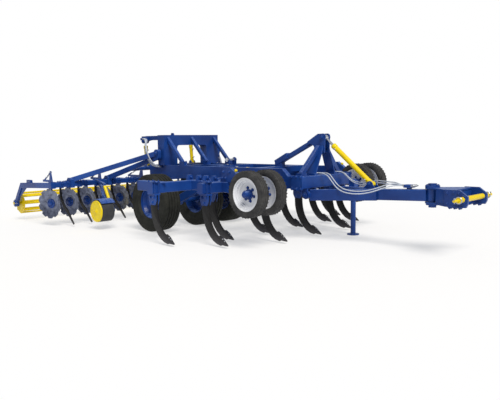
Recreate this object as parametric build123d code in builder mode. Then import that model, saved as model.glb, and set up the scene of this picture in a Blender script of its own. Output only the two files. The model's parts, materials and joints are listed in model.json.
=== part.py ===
# Disc chisel: a trailed tillage machine with deep chisel tines, notched discs and a cage roller.
#
# Frame: millimetres, +X towards the hitch, +Y to the machine's left, +Z up. The ground is at Z = 0,
# and the origin lies on it below the middle of the machine's length.
from build123d import *
from math import cos, radians, sin
import os

os.makedirs("parts", exist_ok=True)

# Stations along the machine
AXLE_X = -809                     # transport axle
RAIL_REAR_X = AXLE_X - 1220       # rear end of the centre frame
FRONT_BEAM_X = AXLE_X + 2790
HITCH_X = AXLE_X + 5380           # lower-link cross shaft
KINGPIN_X = AXLE_X + 4780
DISC_BEAM_X = AXLE_X - 1950
DISC_X = AXLE_X - 2200
ROLLER_X = AXLE_X - 3600

# Transport wheels
TYRE_RADIUS = 535
TYRE_WIDTH = 380
INNER_WHEEL_Y = 362
OUTER_WHEEL_Y = 1430
SPINDLE_RADIUS = 50

# Centre frame
RAIL_Y = 621                      # middle of each long rail
RAIL_WIDTH = 100
RAIL_TOP = 1190
RAIL_BOTTOM = 940
CROSS_TOP = 1000                  # tops of the beams that carry tines
CROSS_BOTTOM = 830
BEAM_WIDTH = 130

# Tines: station of the shank's back edge behind its tip, and the lateral pitch
TINE_PITCH = 450
TINE_TIP_Z = 40
SHANK_DEPTH = 150                 # fore-and-aft
SHANK_THICK = 36
ROW_A_X = AXLE_X + 2270           # front row
ROW_B_X = AXLE_X + 1840           # wings, front beam
ROW_C_X = AXLE_X + 1500           # middle row
ROW_D_X = AXLE_X + 1080           # wings, rear beam

# Drawbar
DRAWBAR_HINGE_X = AXLE_X + 2850
DRAWBAR_HINGE_Z = 760
LUG_X = AXLE_X + 3760             # foot of the levelling cylinder
LUG_Z = 950
TOWER_PIN_X = AXLE_X + 2850
TOWER_PIN_Z = 1700
HITCH_Z = 831

# Gauge wheels ahead of the wings
GAUGE_X = AXLE_X + 2650
GAUGE_Z = 850
GAUGE_RADIUS = 362
GAUGE_WIDTH = 172
GAUGE_ARM_Y = 1450
GAUGE_OFFSET = 205

# Axle lift
LIFT_PIVOT_X = AXLE_X + 750
LIFT_PIVOT_Z = 860
AXLE_ARM_Y = 895

# Rear section
REAR_PIVOT_X = AXLE_X - 750
REAR_PIVOT_Z = 1430
REAR_PIVOT_Y = 800
DISC_RADIUS = 300
DISC_Z = 455
DISC_PITCH = 400
DISC_YAW = 17
ROLLER_RADIUS = 235
ROLLER_Z = 380
ROLLER_HALF = 2440


def side(y):
    """Workplane whose sketch is seen from the machine's right: x forward, y up."""
    return Plane.XZ.offset(-y)


def slab(x0, x1, y0, y1, z0, z1):
    """A plain block between two corners, added to the open part."""
    with Locations(((x0 + x1) / 2, (y0 + y1) / 2, (z0 + z1) / 2)):
        Box(x1 - x0, y1 - y0, z1 - z0)


def beam(start, end, width, height, up=(0, 0, 1)):
    """A box section with rounded edges that runs from start to end."""
    a, b = Vector(*start), Vector(*end)
    run = b - a
    plane = Plane(origin=a, x_dir=Vector(*up).cross(run), z_dir=run)
    with BuildSketch(plane) as section:
        RectangleRounded(width, height, min(width, height) * 0.12)
    extrude(section.sketch, amount=run.length)


def cross_bar(x, z, y0, y1, radius, mode=Mode.ADD):
    """A round bar, pin or bore that lies across the machine."""
    with BuildSketch(side(y1)) as section:
        with Locations((x, z)):
            Circle(radius)
    extrude(section.sketch, amount=y1 - y0, mode=mode)


def save(part, name):
    part.label = name
    export_step(part, f"parts/{name}.step")
    print(f"{name}: volume {part.volume / 1e6:.2f} dm3")


# Centre frame: two deep rails, cross beams, a spine under the gantry and the drawbar's hinge lugs
RAIL_NOSE_X = FRONT_BEAM_X - 100
with BuildPart() as main_frame:
    for sign in (-1, 1):
        with BuildSketch(side(sign * RAIL_Y)):
            with BuildLine():
                Polyline(
                    (RAIL_REAR_X, RAIL_BOTTOM),
                    (RAIL_REAR_X, RAIL_TOP),
                    (FRONT_BEAM_X - 330, RAIL_TOP),
                    (FRONT_BEAM_X - 200, 1070),
                    (RAIL_NOSE_X, 1070),
                    (RAIL_NOSE_X, 870),
                    (FRONT_BEAM_X - 620, 870),
                    (FRONT_BEAM_X - 720, RAIL_BOTTOM),
                    close=True,
                )
            make_face()
        extrude(amount=RAIL_WIDTH / 2, both=True)
        # Bearing plate of the axle's torque tube
        with BuildSketch(side(sign * RAIL_Y)):
            with BuildLine():
                Polyline(
                    (LIFT_PIVOT_X - 190, RAIL_BOTTOM),
                    (LIFT_PIVOT_X - 110, LIFT_PIVOT_Z - 110),
                    (LIFT_PIVOT_X + 110, LIFT_PIVOT_Z - 110),
                    (LIFT_PIVOT_X + 190, RAIL_BOTTOM),
                    close=True,
                )
            make_face()
        extrude(amount=RAIL_WIDTH / 2, both=True)
    # Front beam
    with BuildSketch(side(0)):
        with Locations((FRONT_BEAM_X, 970)):
            RectangleRounded(200, 200, 18)
    extrude(amount=672, both=True)
    # End flanges of the front beam, and an upright bracket on each end of the front tine beam
    for sign in (-1, 1):
        with BuildSketch(side(sign * 682)):
            with Locations((FRONT_BEAM_X, 970)):
                RectangleRounded(236, 236, 24)
        extrude(amount=10, both=True)
        with BuildSketch(side(sign * 990)):
            with BuildLine():
                Polyline(
                    (ROW_A_X - 65, CROSS_TOP - 10),
                    (ROW_A_X - 55, CROSS_TOP + 120),
                    (ROW_A_X - 25, CROSS_TOP + 190),
                    (ROW_A_X + 25, CROSS_TOP + 190),
                    (ROW_A_X + 65, CROSS_TOP + 90),
                    (ROW_A_X + 65, CROSS_TOP - 10),
                    close=True,
                )
            make_face()
            with Locations((ROW_A_X, CROSS_TOP + 150)):
                Circle(16, mode=Mode.SUBTRACT)
        extrude(amount=12, both=True)
    # Rear beam
    slab(RAIL_REAR_X, RAIL_REAR_X + 150, -571, 571, RAIL_BOTTOM, RAIL_TOP)
    # Beams of the front and middle tine rows
    for x, half in ((ROW_A_X, 1010), (ROW_C_X, 571)):
        with BuildSketch(side(0)):
            with Locations((x, (CROSS_TOP + CROSS_BOTTOM) / 2)):
                RectangleRounded(BEAM_WIDTH, CROSS_TOP - CROSS_BOTTOM, 14)
        extrude(amount=half, both=True)
    # Spine and its cross member
    slab(RAIL_REAR_X + 150, AXLE_X + 500, -80, 80, RAIL_BOTTOM, RAIL_TOP)
    slab(AXLE_X + 500, AXLE_X + 615, -571, 571, RAIL_BOTTOM + 30, RAIL_TOP)
    slab(AXLE_X + 1750, AXLE_X + 1920, -571, 571, RAIL_TOP - 100, RAIL_TOP)
    # Lugs of the drawbar's hinge
    for y in (-520, -300, 300, 520):
        with BuildSketch(side(y)):
            with BuildLine():
                Polyline(
                    (DRAWBAR_HINGE_X - 90, 872),
                    (DRAWBAR_HINGE_X + 30, 872),
                    (DRAWBAR_HINGE_X + 62, DRAWBAR_HINGE_Z),
                    (DRAWBAR_HINGE_X - 62, DRAWBAR_HINGE_Z),
                    close=True,
                )
            make_face()
            with Locations((DRAWBAR_HINGE_X, DRAWBAR_HINGE_Z)):
                Circle(62)
        extrude(amount=15, both=True)
    # Bores
    cross_bar(LIFT_PIVOT_X, LIFT_PIVOT_Z, -700, 700, 70.5, Mode.SUBTRACT)
    cross_bar(DRAWBAR_HINGE_X, DRAWBAR_HINGE_Z, -700, 700, 30.5, Mode.SUBTRACT)
    # Lugs of the axle cylinder on the middle beam
    for y in (-52, 52):
        with BuildSketch(side(y)):
            with BuildLine():
                Polyline(
                    (ROW_C_X - 60, 990),
                    (ROW_C_X + 60, 990),
                    (ROW_C_X + 20, 1130),
                    (ROW_C_X - 90, 1130),
                    close=True,
                )
            make_face()
            with Locations((ROW_C_X - 40, 1085)):
                Circle(50)
                Circle(20.5, mode=Mode.SUBTRACT)
        extrude(amount=10, both=True)
save(main_frame.part, "main_frame")

# Wing frames: outboard beams that carry the outer tines and the gauge wheels
WING_LUG_X = tuple(AXLE_X + x for x in (1030, 1280, 1460, 1660))
with BuildPart() as wing_frames:
    for sign in (-1, 1):
        inner = sign * (RAIL_Y + RAIL_WIDTH / 2)
        mid_z = (CROSS_TOP + CROSS_BOTTOM) / 2
        deep = CROSS_TOP - CROSS_BOTTOM
        beam((ROW_D_X, inner, mid_z), (ROW_D_X, sign * 2080, mid_z), BEAM_WIDTH, deep)
        beam((ROW_B_X, inner, mid_z), (ROW_B_X, sign * 1920, mid_z), BEAM_WIDTH, deep)
        beam((ROW_C_X, inner, mid_z), (ROW_C_X, sign * 1440, mid_z), BEAM_WIDTH, deep)
        beam((AXLE_X + 370, sign * 2005, mid_z), (ROW_D_X, sign * 2005, mid_z), 150, deep)
        beam((ROW_D_X, sign * GAUGE_ARM_Y, mid_z), (ROW_B_X + 200, sign * GAUGE_ARM_Y, mid_z), 120, deep)
        # Row of tapered lugs on top of the wing
        for x in WING_LUG_X:
            with BuildSketch(Plane.YZ.offset(x - 28)):
                with BuildLine():
                    Polyline(
                        (sign * GAUGE_ARM_Y - 58, CROSS_TOP - 4),
                        (sign * GAUGE_ARM_Y - 40, CROSS_TOP + 88),
                        (sign * GAUGE_ARM_Y + 40, CROSS_TOP + 88),
                        (sign * GAUGE_ARM_Y + 58, CROSS_TOP - 4),
                        close=True,
                    )
                make_face()
                with Locations((sign * GAUGE_ARM_Y, CROSS_TOP + 52)):
                    Circle(18, mode=Mode.SUBTRACT)
            extrude(amount=56)
        # Bracket plate that hangs below the wing
        with BuildSketch(side(sign * GAUGE_ARM_Y)):
            with BuildLine():
                Polyline(
                    (AXLE_X + 1300, CROSS_BOTTOM + 20),
                    (AXLE_X + 1390, 670),
                    (AXLE_X + 1640, 670),
                    (AXLE_X + 1730, CROSS_BOTTOM + 20),
                    close=True,
                )
            make_face()
            with Locations((AXLE_X + 1515, 740)):
                Circle(26, mode=Mode.SUBTRACT)
        extrude(amount=11, both=True)
save(wing_frames.part, "wing_frames")

# Gauge wheel arms: a plate bracket on each wing and an arm down to the axle between the wheels
GAUGE_SHAFT_RADIUS = 35
with BuildPart() as gauge_arms:
    for sign in (-1, 1):
        with BuildSketch(side(sign * GAUGE_ARM_Y)):
            with BuildLine():
                Polyline(
                    (ROW_B_X + 10, CROSS_TOP),
                    (ROW_B_X + 60, 1160),
                    (ROW_B_X + 90, 1220),
                    (ROW_B_X + 250, 1230),
                    (ROW_B_X + 430, 1110),
                    (GAUGE_X + 40, GAUGE_Z + 75),
                    (GAUGE_X + 40, GAUGE_Z - 75),
                    (GAUGE_X - 60, GAUGE_Z - 75),
                    (ROW_B_X + 320, CROSS_TOP),
                    close=True,
                )
            make_face()
            with Locations((GAUGE_X, GAUGE_Z)):
                Circle(85)
        extrude(amount=40, both=True)
        with BuildSketch(side(sign * GAUGE_ARM_Y)):
            with Locations((GAUGE_X, GAUGE_Z)):
                Circle(GAUGE_SHAFT_RADIUS)
        extrude(amount=GAUGE_OFFSET + 85, both=True)
save(gauge_arms.part, "gauge_arms")

# Lift cylinder pins, on the right and left planes of the rails
LIFT_FOOT = (AXLE_X - 1380, RAIL_Y, 1200)
LIFT_TOP = (AXLE_X - 1420, RAIL_Y, 1680)

# Gantry that carries the rear section: a portal of two wide posts and a top beam, rearward arms, braces
GANTRY_FRONT_X = AXLE_X - 620
GANTRY_REAR_X = AXLE_X - 830
GANTRY_TOP = 1800
GANTRY_HALF = 735                 # outer face of each post
PORTAL_HALF = 400                 # half the opening between the posts
PORTAL_TOP = 1590
ARM_HALF = 40                     # half the thickness of a rearward arm
ARM_BOTTOM = 1700
ARM_TOP = 1790
CORNER = 60                       # rounding of the inner corners
with BuildPart() as gantry:
    with BuildSketch(Plane.YZ.offset(GANTRY_REAR_X)):
        with Locations((0, (RAIL_TOP + GANTRY_TOP) / 2)):
            Rectangle(2 * GANTRY_HALF, GANTRY_TOP - RAIL_TOP)
        with Locations((0, PORTAL_TOP - 300)):
            RectangleRounded(2 * PORTAL_HALF, 600, CORNER, mode=Mode.SUBTRACT)
    extrude(amount=GANTRY_FRONT_X - GANTRY_REAR_X)
    for sign in (-1, 1):
        # Rearward arm, with a rounded gusset down the post
        with BuildSketch(side(sign * RAIL_Y)):
            with BuildLine():
                Polyline(
                    (GANTRY_REAR_X - CORNER, ARM_BOTTOM),
                    (AXLE_X - 1350, ARM_BOTTOM),
                    (AXLE_X - 1350, ARM_TOP),
                    (GANTRY_REAR_X, ARM_TOP),
                    (GANTRY_REAR_X, ARM_BOTTOM - CORNER),
                )
                ThreePointArc(
                    (GANTRY_REAR_X, ARM_BOTTOM - CORNER),
                    (GANTRY_REAR_X - 0.293 * CORNER, ARM_BOTTOM - 0.293 * CORNER),
                    (GANTRY_REAR_X - CORNER, ARM_BOTTOM),
                )
            make_face()
        extrude(amount=ARM_HALF, both=True)
        # Pivot pin of the draft arms and top pin of the lift cylinder
        ends = sorted((sign * (GANTRY_HALF - 10), sign * (REAR_PIVOT_Y + 60)))
        cross_bar(REAR_PIVOT_X, REAR_PIVOT_Z, ends[0], ends[1], 35)
        for cheek in (-50, 50):
            with BuildSketch(side(sign * RAIL_Y + cheek)):
                with BuildLine():
                    Polyline(
                        (AXLE_X - 1250, ARM_BOTTOM),
                        (AXLE_X - 1250, ARM_TOP - 5),
                        (LIFT_TOP[0] - 45, ARM_TOP - 5),
                        (LIFT_TOP[0] - 45, LIFT_TOP[2]),
                        (LIFT_TOP[0] + 45, LIFT_TOP[2]),
                        close=True,
                    )
                make_face()
                with Locations((LIFT_TOP[0], LIFT_TOP[2])):
                    Circle(45)
            extrude(amount=10, both=True)
        cross_bar(LIFT_TOP[0], LIFT_TOP[2], sign * RAIL_Y - 70, sign * RAIL_Y + 70, 22)
    # Braces from the top beam's front face down to pads on the rails and the spine
    for y in (-RAIL_Y, 0, RAIL_Y):
        beam((GANTRY_FRONT_X - 40, y, 1755), (AXLE_X - 160, y, RAIL_TOP + 45), 66, 66)
        slab(AXLE_X - 235, AXLE_X - 95, y - 45, y + 45, RAIL_TOP, RAIL_TOP + 75)
    # Lifting lug on the top beam
    with BuildSketch(side(-430)):
        with BuildLine():
            Polyline(
                (AXLE_X - 770, GANTRY_TOP),
                (AXLE_X - 750, GANTRY_TOP + 42),
                (AXLE_X - 700, GANTRY_TOP + 42),
                (AXLE_X - 680, GANTRY_TOP),
                close=True,
            )
        make_face()
        with Locations((AXLE_X - 725, GANTRY_TOP + 20)):
            Circle(12, mode=Mode.SUBTRACT)
    extrude(amount=14, both=True)
save(gantry.part, "gantry")

# Front tower: legs and mast plates on the front beam, apex plates and a stay back to the frame
STAY_FOOT_X = AXLE_X + 1830
APEX_Y = 64                       # middle of each apex plate
LEG_FOOT_Y = 500
MAST_FOOT_Y = 270
TOWER_SEAT_Z = 1070               # top of the front beam
with BuildPart() as tower:
    for sign in (-1, 1):
        # Apex plate with a concave rear edge under the stay and two see-through holes
        with BuildSketch(side(sign * APEX_Y)):
            with BuildLine():
                Polyline(
                    (TOWER_PIN_X - 340, 1550),
                    (TOWER_PIN_X - 320, 1632),
                    (TOWER_PIN_X - 100, 1758),
                    (TOWER_PIN_X + 10, 1762),
                    (TOWER_PIN_X + 48, 1740),
                    (TOWER_PIN_X + 48, 1660),
                    (TOWER_PIN_X + 38, 1440),
                    (TOWER_PIN_X - 172, 1440),
                    (TOWER_PIN_X - 172, 1510),
                )
                ThreePointArc(
                    (TOWER_PIN_X - 172, 1510),
                    (TOWER_PIN_X - 205, 1570),
                    (TOWER_PIN_X - 340, 1550),
                )
            make_face()
            with Locations((TOWER_PIN_X - 115, 1490), (TOWER_PIN_X - 20, 1495)):
                Circle(20, mode=Mode.SUBTRACT)
        extrude(amount=10, both=True)
        # Box leg to the outer end of the front beam, with its foot plate
        beam(
            (TOWER_PIN_X - 66, sign * 90, 1540),
            (FRONT_BEAM_X - 52, sign * LEG_FOOT_Y, TOWER_SEAT_Z + 30),
            84,
            70,
            up=(1, 0, 0),
        )
        slab(
            FRONT_BEAM_X - 98,
            FRONT_BEAM_X + 8,
            sign * LEG_FOOT_Y - 75,
            sign * LEG_FOOT_Y + 75,
            TOWER_SEAT_Z,
            TOWER_SEAT_Z + 50,
        )
        # Tapered mast plate between the apex and the middle of the beam
        beam(
            (TOWER_PIN_X - 66, sign * 70, 1560),
            (FRONT_BEAM_X - 20, sign * MAST_FOOT_Y, TOWER_SEAT_Z + 20),
            26,
            180,
            up=(1, 0, 0),
        )
        slab(
            FRONT_BEAM_X - 98,
            FRONT_BEAM_X + 80,
            sign * MAST_FOOT_Y - 40,
            sign * MAST_FOOT_Y + 40,
            TOWER_SEAT_Z,
            TOWER_SEAT_Z + 40,
        )
    # Stay and its clamped foot
    beam((TOWER_PIN_X - 90, 0, 1700), (STAY_FOOT_X, 0, 1262), 80, 78)
    beam((STAY_FOOT_X + 215, 0, 1386), (STAY_FOOT_X - 60, 0, 1252), 116, 104)
    slab(STAY_FOOT_X - 70, STAY_FOOT_X + 85, -52, 52, RAIL_TOP, 1290)
    slab(TOWER_PIN_X - 150, TOWER_PIN_X - 90, -56, 56, 1500, 1740)
    cross_bar(TOWER_PIN_X, TOWER_PIN_Z, -90, 90, 20)
save(tower.part, "tower")

# Chisel tines: row, shank station and lateral places in tine pitches
TINE_ROWS = (
    (ROW_A_X, (-2, 0, 2)),
    (ROW_B_X, (-4, 4)),
    (ROW_C_X, (-3, -1, 1, 3)),
    (ROW_D_X, (-5, 5)),
)
TINE_REACH = 500                  # tip ahead of the shank's middle
SHARE_HALF = 33
with BuildPart() as tine_master:
    with BuildSketch(Plane.XZ):
        with BuildLine():
            back = Line((-SHANK_DEPTH / 2, CROSS_BOTTOM - 30), (-SHANK_DEPTH / 2, 470))
            arc_back = JernArc(start=back @ 1, tangent=(0, -1), radius=500, arc_size=52)
            foot = Line(arc_back @ 1, (TINE_REACH - 20, TINE_TIP_Z))
            toe = Line(foot @ 1, (TINE_REACH, TINE_TIP_Z + 18))
            nose = Line(toe @ 1, (TINE_REACH - 165, TINE_TIP_Z + 150))
            arc_front = ThreePointArc(
                nose @ 1,
                (SHANK_DEPTH / 2 + 62, 320),
                (SHANK_DEPTH / 2, 500),
            )
            front = Line(arc_front @ 1, (SHANK_DEPTH / 2, CROSS_BOTTOM - 30))
            Line(front @ 1, back @ 0)
        make_face()
    extrude(amount=SHANK_THICK / 2, both=True)
    # Share: a wider wearing bar on the front of the toe, narrowed to its point
    with BuildSketch(Plane.XZ):
        with BuildLine():
            Polyline(
                (TINE_REACH - 262, TINE_TIP_Z + 205),
                (TINE_REACH - 240, TINE_TIP_Z + 232),
                (TINE_REACH, TINE_TIP_Z + 22),
                (TINE_REACH - 4, TINE_TIP_Z),
                (TINE_REACH - 20, TINE_TIP_Z),
                close=True,
            )
        make_face()
    extrude(amount=SHARE_HALF, both=True)
    with BuildSketch(Plane.XY):
        for sign in (-1, 1):
            with BuildLine():
                Polyline(
                    (TINE_REACH - 70, sign * (SHARE_HALF + 1)),
                    (TINE_REACH + 5, sign * (SHARE_HALF + 1)),
                    (TINE_REACH + 5, sign * SHARE_HALF * 0.45),
                    close=True,
                )
            make_face()
    extrude(amount=200, mode=Mode.SUBTRACT)
with BuildPart() as tines:
    for x, places in TINE_ROWS:
        with Locations(*[(x, k * TINE_PITCH, 0) for k in places]):
            add(tine_master.part)
save(tines.part, "tines")

# Tine clamps: two cheeks with cut corners that hang each shank from its beam
with BuildPart() as tine_clamps:
    for x, places in TINE_ROWS:
        for k in places:
            y = k * TINE_PITCH
            for sign in (-1, 1):
                with BuildSketch(side(y + sign * (SHANK_THICK / 2 + 10))):
                    with BuildLine():
                        Polyline(
                            (x - 95, CROSS_BOTTOM),
                            (x + 95, CROSS_BOTTOM),
                            (x + 95, CROSS_BOTTOM - 120),
                            (x + 60, CROSS_BOTTOM - 190),
                            (x - 60, CROSS_BOTTOM - 190),
                            (x - 95, CROSS_BOTTOM - 120),
                            close=True,
                        )
                    make_face()
                extrude(amount=10, both=True)
            slab(x - 95, x + 95, y - 58, y + 58, CROSS_BOTTOM - 30, CROSS_BOTTOM)
save(tine_clamps.part, "tine_clamps")

# Transport axle: torque tube, two arms, spindles and the lever of the lift cylinder
LEVER_X = LIFT_PIVOT_X - 50
LEVER_Z = LIFT_PIVOT_Z + 280
with BuildPart() as axle_carrier:
    cross_bar(LIFT_PIVOT_X, LIFT_PIVOT_Z, -940, 940, 70)
    for sign in (-1, 1):
        beam(
            (LIFT_PIVOT_X, sign * AXLE_ARM_Y, LIFT_PIVOT_Z),
            (AXLE_X, sign * AXLE_ARM_Y, TYRE_RADIUS),
            90,
            150,
        )
        ends = sorted((sign * (INNER_WHEEL_Y - 70), sign * (OUTER_WHEEL_Y + 70)))
        cross_bar(AXLE_X, TYRE_RADIUS, ends[0], ends[1], SPINDLE_RADIUS)
        ends = sorted((sign * (AXLE_ARM_Y - 60), sign * (AXLE_ARM_Y + 60)))
        cross_bar(AXLE_X, TYRE_RADIUS, ends[0], ends[1], 95)
        with BuildSketch(side(sign * 42)):
            with BuildLine():
                Polyline(
                    (LIFT_PIVOT_X - 68, LIFT_PIVOT_Z),
                    (LEVER_X - 38, LEVER_Z),
                    (LEVER_X + 38, LEVER_Z),
                    (LIFT_PIVOT_X + 68, LIFT_PIVOT_Z),
                    close=True,
                )
            make_face()
            with Locations((LEVER_X, LEVER_Z)):
                Circle(38)
        extrude(amount=8, both=True)
    cross_bar(LEVER_X, LEVER_Z, -58, 58, 20)
save(axle_carrier.part, "axle_carrier")


def tyre_profile(radius, width, rim_radius):
    """Half section of a ribbed tyre about the local Z axis, on the plane of its axis."""
    half = width / 2
    with BuildLine() as outline:
        Polyline(
            (rim_radius, -half * 0.72),
            (rim_radius, half * 0.72),
            (rim_radius + 22, half * 0.86),
            ((radius + rim_radius) / 2, half),
            (radius - 55, half * 0.97),
            (radius - 12, half * 0.84),
            (radius, half * 0.62),
            (radius, -half * 0.62),
            (radius - 12, -half * 0.84),
            (radius - 55, -half * 0.97),
            ((radius + rim_radius) / 2, -half),
            (rim_radius + 22, -half * 0.86),
            close=True,
        )
    make_face(outline.edges())


def rim_profile(rim_radius, width, bore, hub_radius, dish, hub_in, hub_out):
    """Half section of a wheel rim with its well, disc and hub."""
    half = width / 2 * 0.72
    with BuildLine() as outline:
        Polyline(
            (bore, -hub_in),
            (bore, hub_out),
            (hub_radius, hub_out),
            (hub_radius, dish + 14),
            (rim_radius * 0.62, dish + 14),
            (rim_radius * 0.84, dish + 26),
            (rim_radius - 16, half - 30),
            (rim_radius - 14, half),
            (rim_radius, half),
            (rim_radius, -half),
            (rim_radius - 14, -half),
            (rim_radius - 16, dish - 10),
            (rim_radius * 0.80, dish - 8),
            (rim_radius * 0.62, dish - 10),
            (hub_radius, dish - 10),
            (hub_radius, -hub_in),
            close=True,
        )
    make_face(outline.edges())


# Transport wheels
RIM_RADIUS = 285
for side_name, side_sign in (("right", -1), ("left", 1)):
    for place, wheel_y in (("outer", OUTER_WHEEL_Y), ("inner", INNER_WHEEL_Y)):
        facing = side_sign if place == "outer" else -side_sign
        centre = (AXLE_X, side_sign * wheel_y, TYRE_RADIUS)
        with BuildPart() as tyre:
            with BuildSketch(Plane(origin=centre, x_dir=(1, 0, 0), z_dir=(0, 0, facing))):
                tyre_profile(TYRE_RADIUS, TYRE_WIDTH, RIM_RADIUS)
            revolve(axis=Axis(centre, (0, 1, 0)))
        save(tyre.part, f"tyre_{place}_{side_name}")
        with BuildPart() as rim:
            with BuildSketch(Plane(origin=centre, x_dir=(1, 0, 0), z_dir=(0, 0, facing))):
                rim_profile(RIM_RADIUS, TYRE_WIDTH, SPINDLE_RADIUS + 0.3, 88, 20, 70, 90)
            revolve(axis=Axis(centre, (0, 1, 0)))
        save(rim.part, f"rim_{place}_{side_name}")

# Gauge wheels: a pair on one shaft line each side, each pair one body
GAUGE_RIM = 245
for side_name, side_sign in (("right", -1), ("left", 1)):
    with BuildPart() as gauge_tyres:
        for facing in (-1, 1):
            centre = (GAUGE_X, side_sign * GAUGE_ARM_Y + facing * GAUGE_OFFSET, GAUGE_Z)
            with BuildSketch(Plane(origin=centre, x_dir=(1, 0, 0), z_dir=(0, 0, facing))):
                tyre_profile(GAUGE_RADIUS, GAUGE_WIDTH, GAUGE_RIM)
            revolve(axis=Axis(centre, (0, 1, 0)))
    save(gauge_tyres.part, f"gauge_tyres_{side_name}")
    with BuildPart() as gauge_rims:
        for facing in (-1, 1):
            centre = (GAUGE_X, side_sign * GAUGE_ARM_Y + facing * GAUGE_OFFSET, GAUGE_Z)
            with BuildSketch(Plane(origin=centre, x_dir=(1, 0, 0), z_dir=(0, 0, facing))):
                rim_profile(GAUGE_RIM, GAUGE_WIDTH, GAUGE_SHAFT_RADIUS + 0.3, 70, 0, 60, 80)
            revolve(axis=Axis(centre, (0, 1, 0)))
    save(gauge_rims.part, f"gauge_rims_{side_name}")


def cylinder_barrel(foot, head, length, radius, bore, bore_depth, eye_radius, eye_bore, eye_width):
    """A hydraulic barrel that points from its foot eye towards head, added to the open part."""
    a, b = Vector(*foot), Vector(*head)
    axis = (b - a).normalized()
    cross_bar(foot[0], foot[2], foot[1] - eye_width / 2, foot[1] + eye_width / 2, eye_radius)
    with BuildSketch(Plane(origin=a + axis * (eye_radius * 0.5), z_dir=axis)) as tube:
        Circle(radius)
    extrude(tube.sketch, amount=length - eye_radius * 0.5)
    cross_bar(foot[0], foot[2], foot[1] - radius - 5, foot[1] + radius + 5, eye_bore, Mode.SUBTRACT)
    with BuildSketch(Plane(origin=a + axis * length, z_dir=-axis)) as hollow:
        Circle(bore)
    extrude(hollow.sketch, amount=bore_depth, mode=Mode.SUBTRACT)


def cylinder_rod(foot, head, start, radius, eye_radius, eye_bore, eye_width):
    """A piston rod whose eye sits at head and whose other end is start from the foot."""
    a, b = Vector(*foot), Vector(*head)
    axis = (b - a).normalized()
    cross_bar(head[0], head[2], head[1] - eye_width / 2, head[1] + eye_width / 2, eye_radius)
    with BuildSketch(Plane(origin=a + axis * start, z_dir=axis)) as bar:
        Circle(radius)
    extrude(bar.sketch, amount=(b - a).length - start - eye_radius * 0.6)
    cross_bar(head[0], head[2], head[1] - eye_width, head[1] + eye_width, eye_bore, Mode.SUBTRACT)


# Axle cylinder, between the middle beam and the torque tube's lever
AXLE_CYL_FOOT = (ROW_C_X - 40, 0, 1085)
AXLE_CYL_HEAD = (LEVER_X, 0, LEVER_Z)
with BuildPart() as axle_barrel:
    cylinder_barrel(AXLE_CYL_FOOT, AXLE_CYL_HEAD, 480, 34, 22, 400, 34, 20.5, 70)
save(axle_barrel.part, "axle_barrel")
with BuildPart() as axle_rod:
    cylinder_rod(AXLE_CYL_FOOT, AXLE_CYL_HEAD, 250, 18, 32, 26, 50)
save(axle_rod.part, "axle_rod")

# Parking jack and hose holder
JACK_X = AXLE_X + 3060
JACK_Y = 530
HOLDER_X = AXLE_X + 4410

# Drawbar: hinge tube, two converging rails, one box beam to the kingpin bush
with BuildPart() as drawbar:
    for sign in (-1, 1):
        beam(
            (DRAWBAR_HINGE_X + 20, sign * 410, DRAWBAR_HINGE_Z),
            (AXLE_X + 3900, sign * 75, DRAWBAR_HINGE_Z + 36),
            120,
            180,
        )
        ends = sorted((sign * 320, sign * 500))
        cross_bar(DRAWBAR_HINGE_X, DRAWBAR_HINGE_Z, ends[0], ends[1], 60)
    beam((AXLE_X + 3560, 0, DRAWBAR_HINGE_Z + 22), (KINGPIN_X - 60, 0, HITCH_Z - 2), 180, 170)
    beam((AXLE_X + 3230, -330, DRAWBAR_HINGE_Z + 12), (AXLE_X + 3230, 330, DRAWBAR_HINGE_Z + 12), 100, 120)
    cross_bar(DRAWBAR_HINGE_X, DRAWBAR_HINGE_Z, -560, 560, 30)
    for sign in (-1, 1):
        with BuildSketch(side(sign * 58)):
            with BuildLine():
                Polyline(
                    (LUG_X - 140, 860),
                    (LUG_X - 50, LUG_Z),
                    (LUG_X + 50, LUG_Z),
                    (LUG_X + 120, 870),
                    close=True,
                )
            make_face()
            with Locations((LUG_X, LUG_Z)):
                Circle(50)
        extrude(amount=10, both=True)
    cross_bar(LUG_X, LUG_Z, -80, 80, 20)
    with BuildSketch(Plane.XY.offset(HITCH_Z - 88)):
        with Locations((KINGPIN_X, 0)):
            Circle(80)
    extrude(amount=176)
    with BuildSketch(Plane.XY.offset(HITCH_Z - 200)):
        with Locations((KINGPIN_X, 0)):
            Circle(35.5)
    extrude(amount=400, mode=Mode.SUBTRACT)
    # Post of the hose holder and the carrier of the parking jack
    slab(HOLDER_X - 25, HOLDER_X + 25, -35, 35, 880, 925)
    slab(JACK_X - 60, JACK_X + 60, 330, JACK_Y - 55, 700, 840)
save(drawbar.part, "drawbar")

# Parking jack: a sleeve on the drawbar's left rail and a leg that slides up in it
with BuildPart() as jack_sleeve:
    with BuildSketch(Plane.XY.offset(620)):
        with Locations((JACK_X, JACK_Y)):
            Rectangle(110, 110)
            Circle(45.5, mode=Mode.SUBTRACT)
    extrude(amount=330)
save(jack_sleeve.part, "jack_sleeve")
with BuildPart() as jack_leg:
    with BuildSketch(Plane.XY.offset(20)):
        with Locations((JACK_X, JACK_Y)):
            Circle(45)
    extrude(amount=960)
    with BuildSketch():
        with Locations((JACK_X, JACK_Y)):
            Circle(105)
    extrude(amount=20)
save(jack_leg.part, "jack_leg")

# Hose holder: a plate of four coupler sockets on the drawbar's post
with BuildPart() as hose_holder:
    slab(HOLDER_X - 60, HOLDER_X + 60, -70, 70, 925, 945)
    for y in (-51, -17, 17, 51):
        with BuildSketch(Plane.YZ.offset(HOLDER_X - 55)):
            with Locations((y, 956)):
                Circle(15)
        extrude(amount=110)
save(hose_holder.part, "hose_holder")

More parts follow.
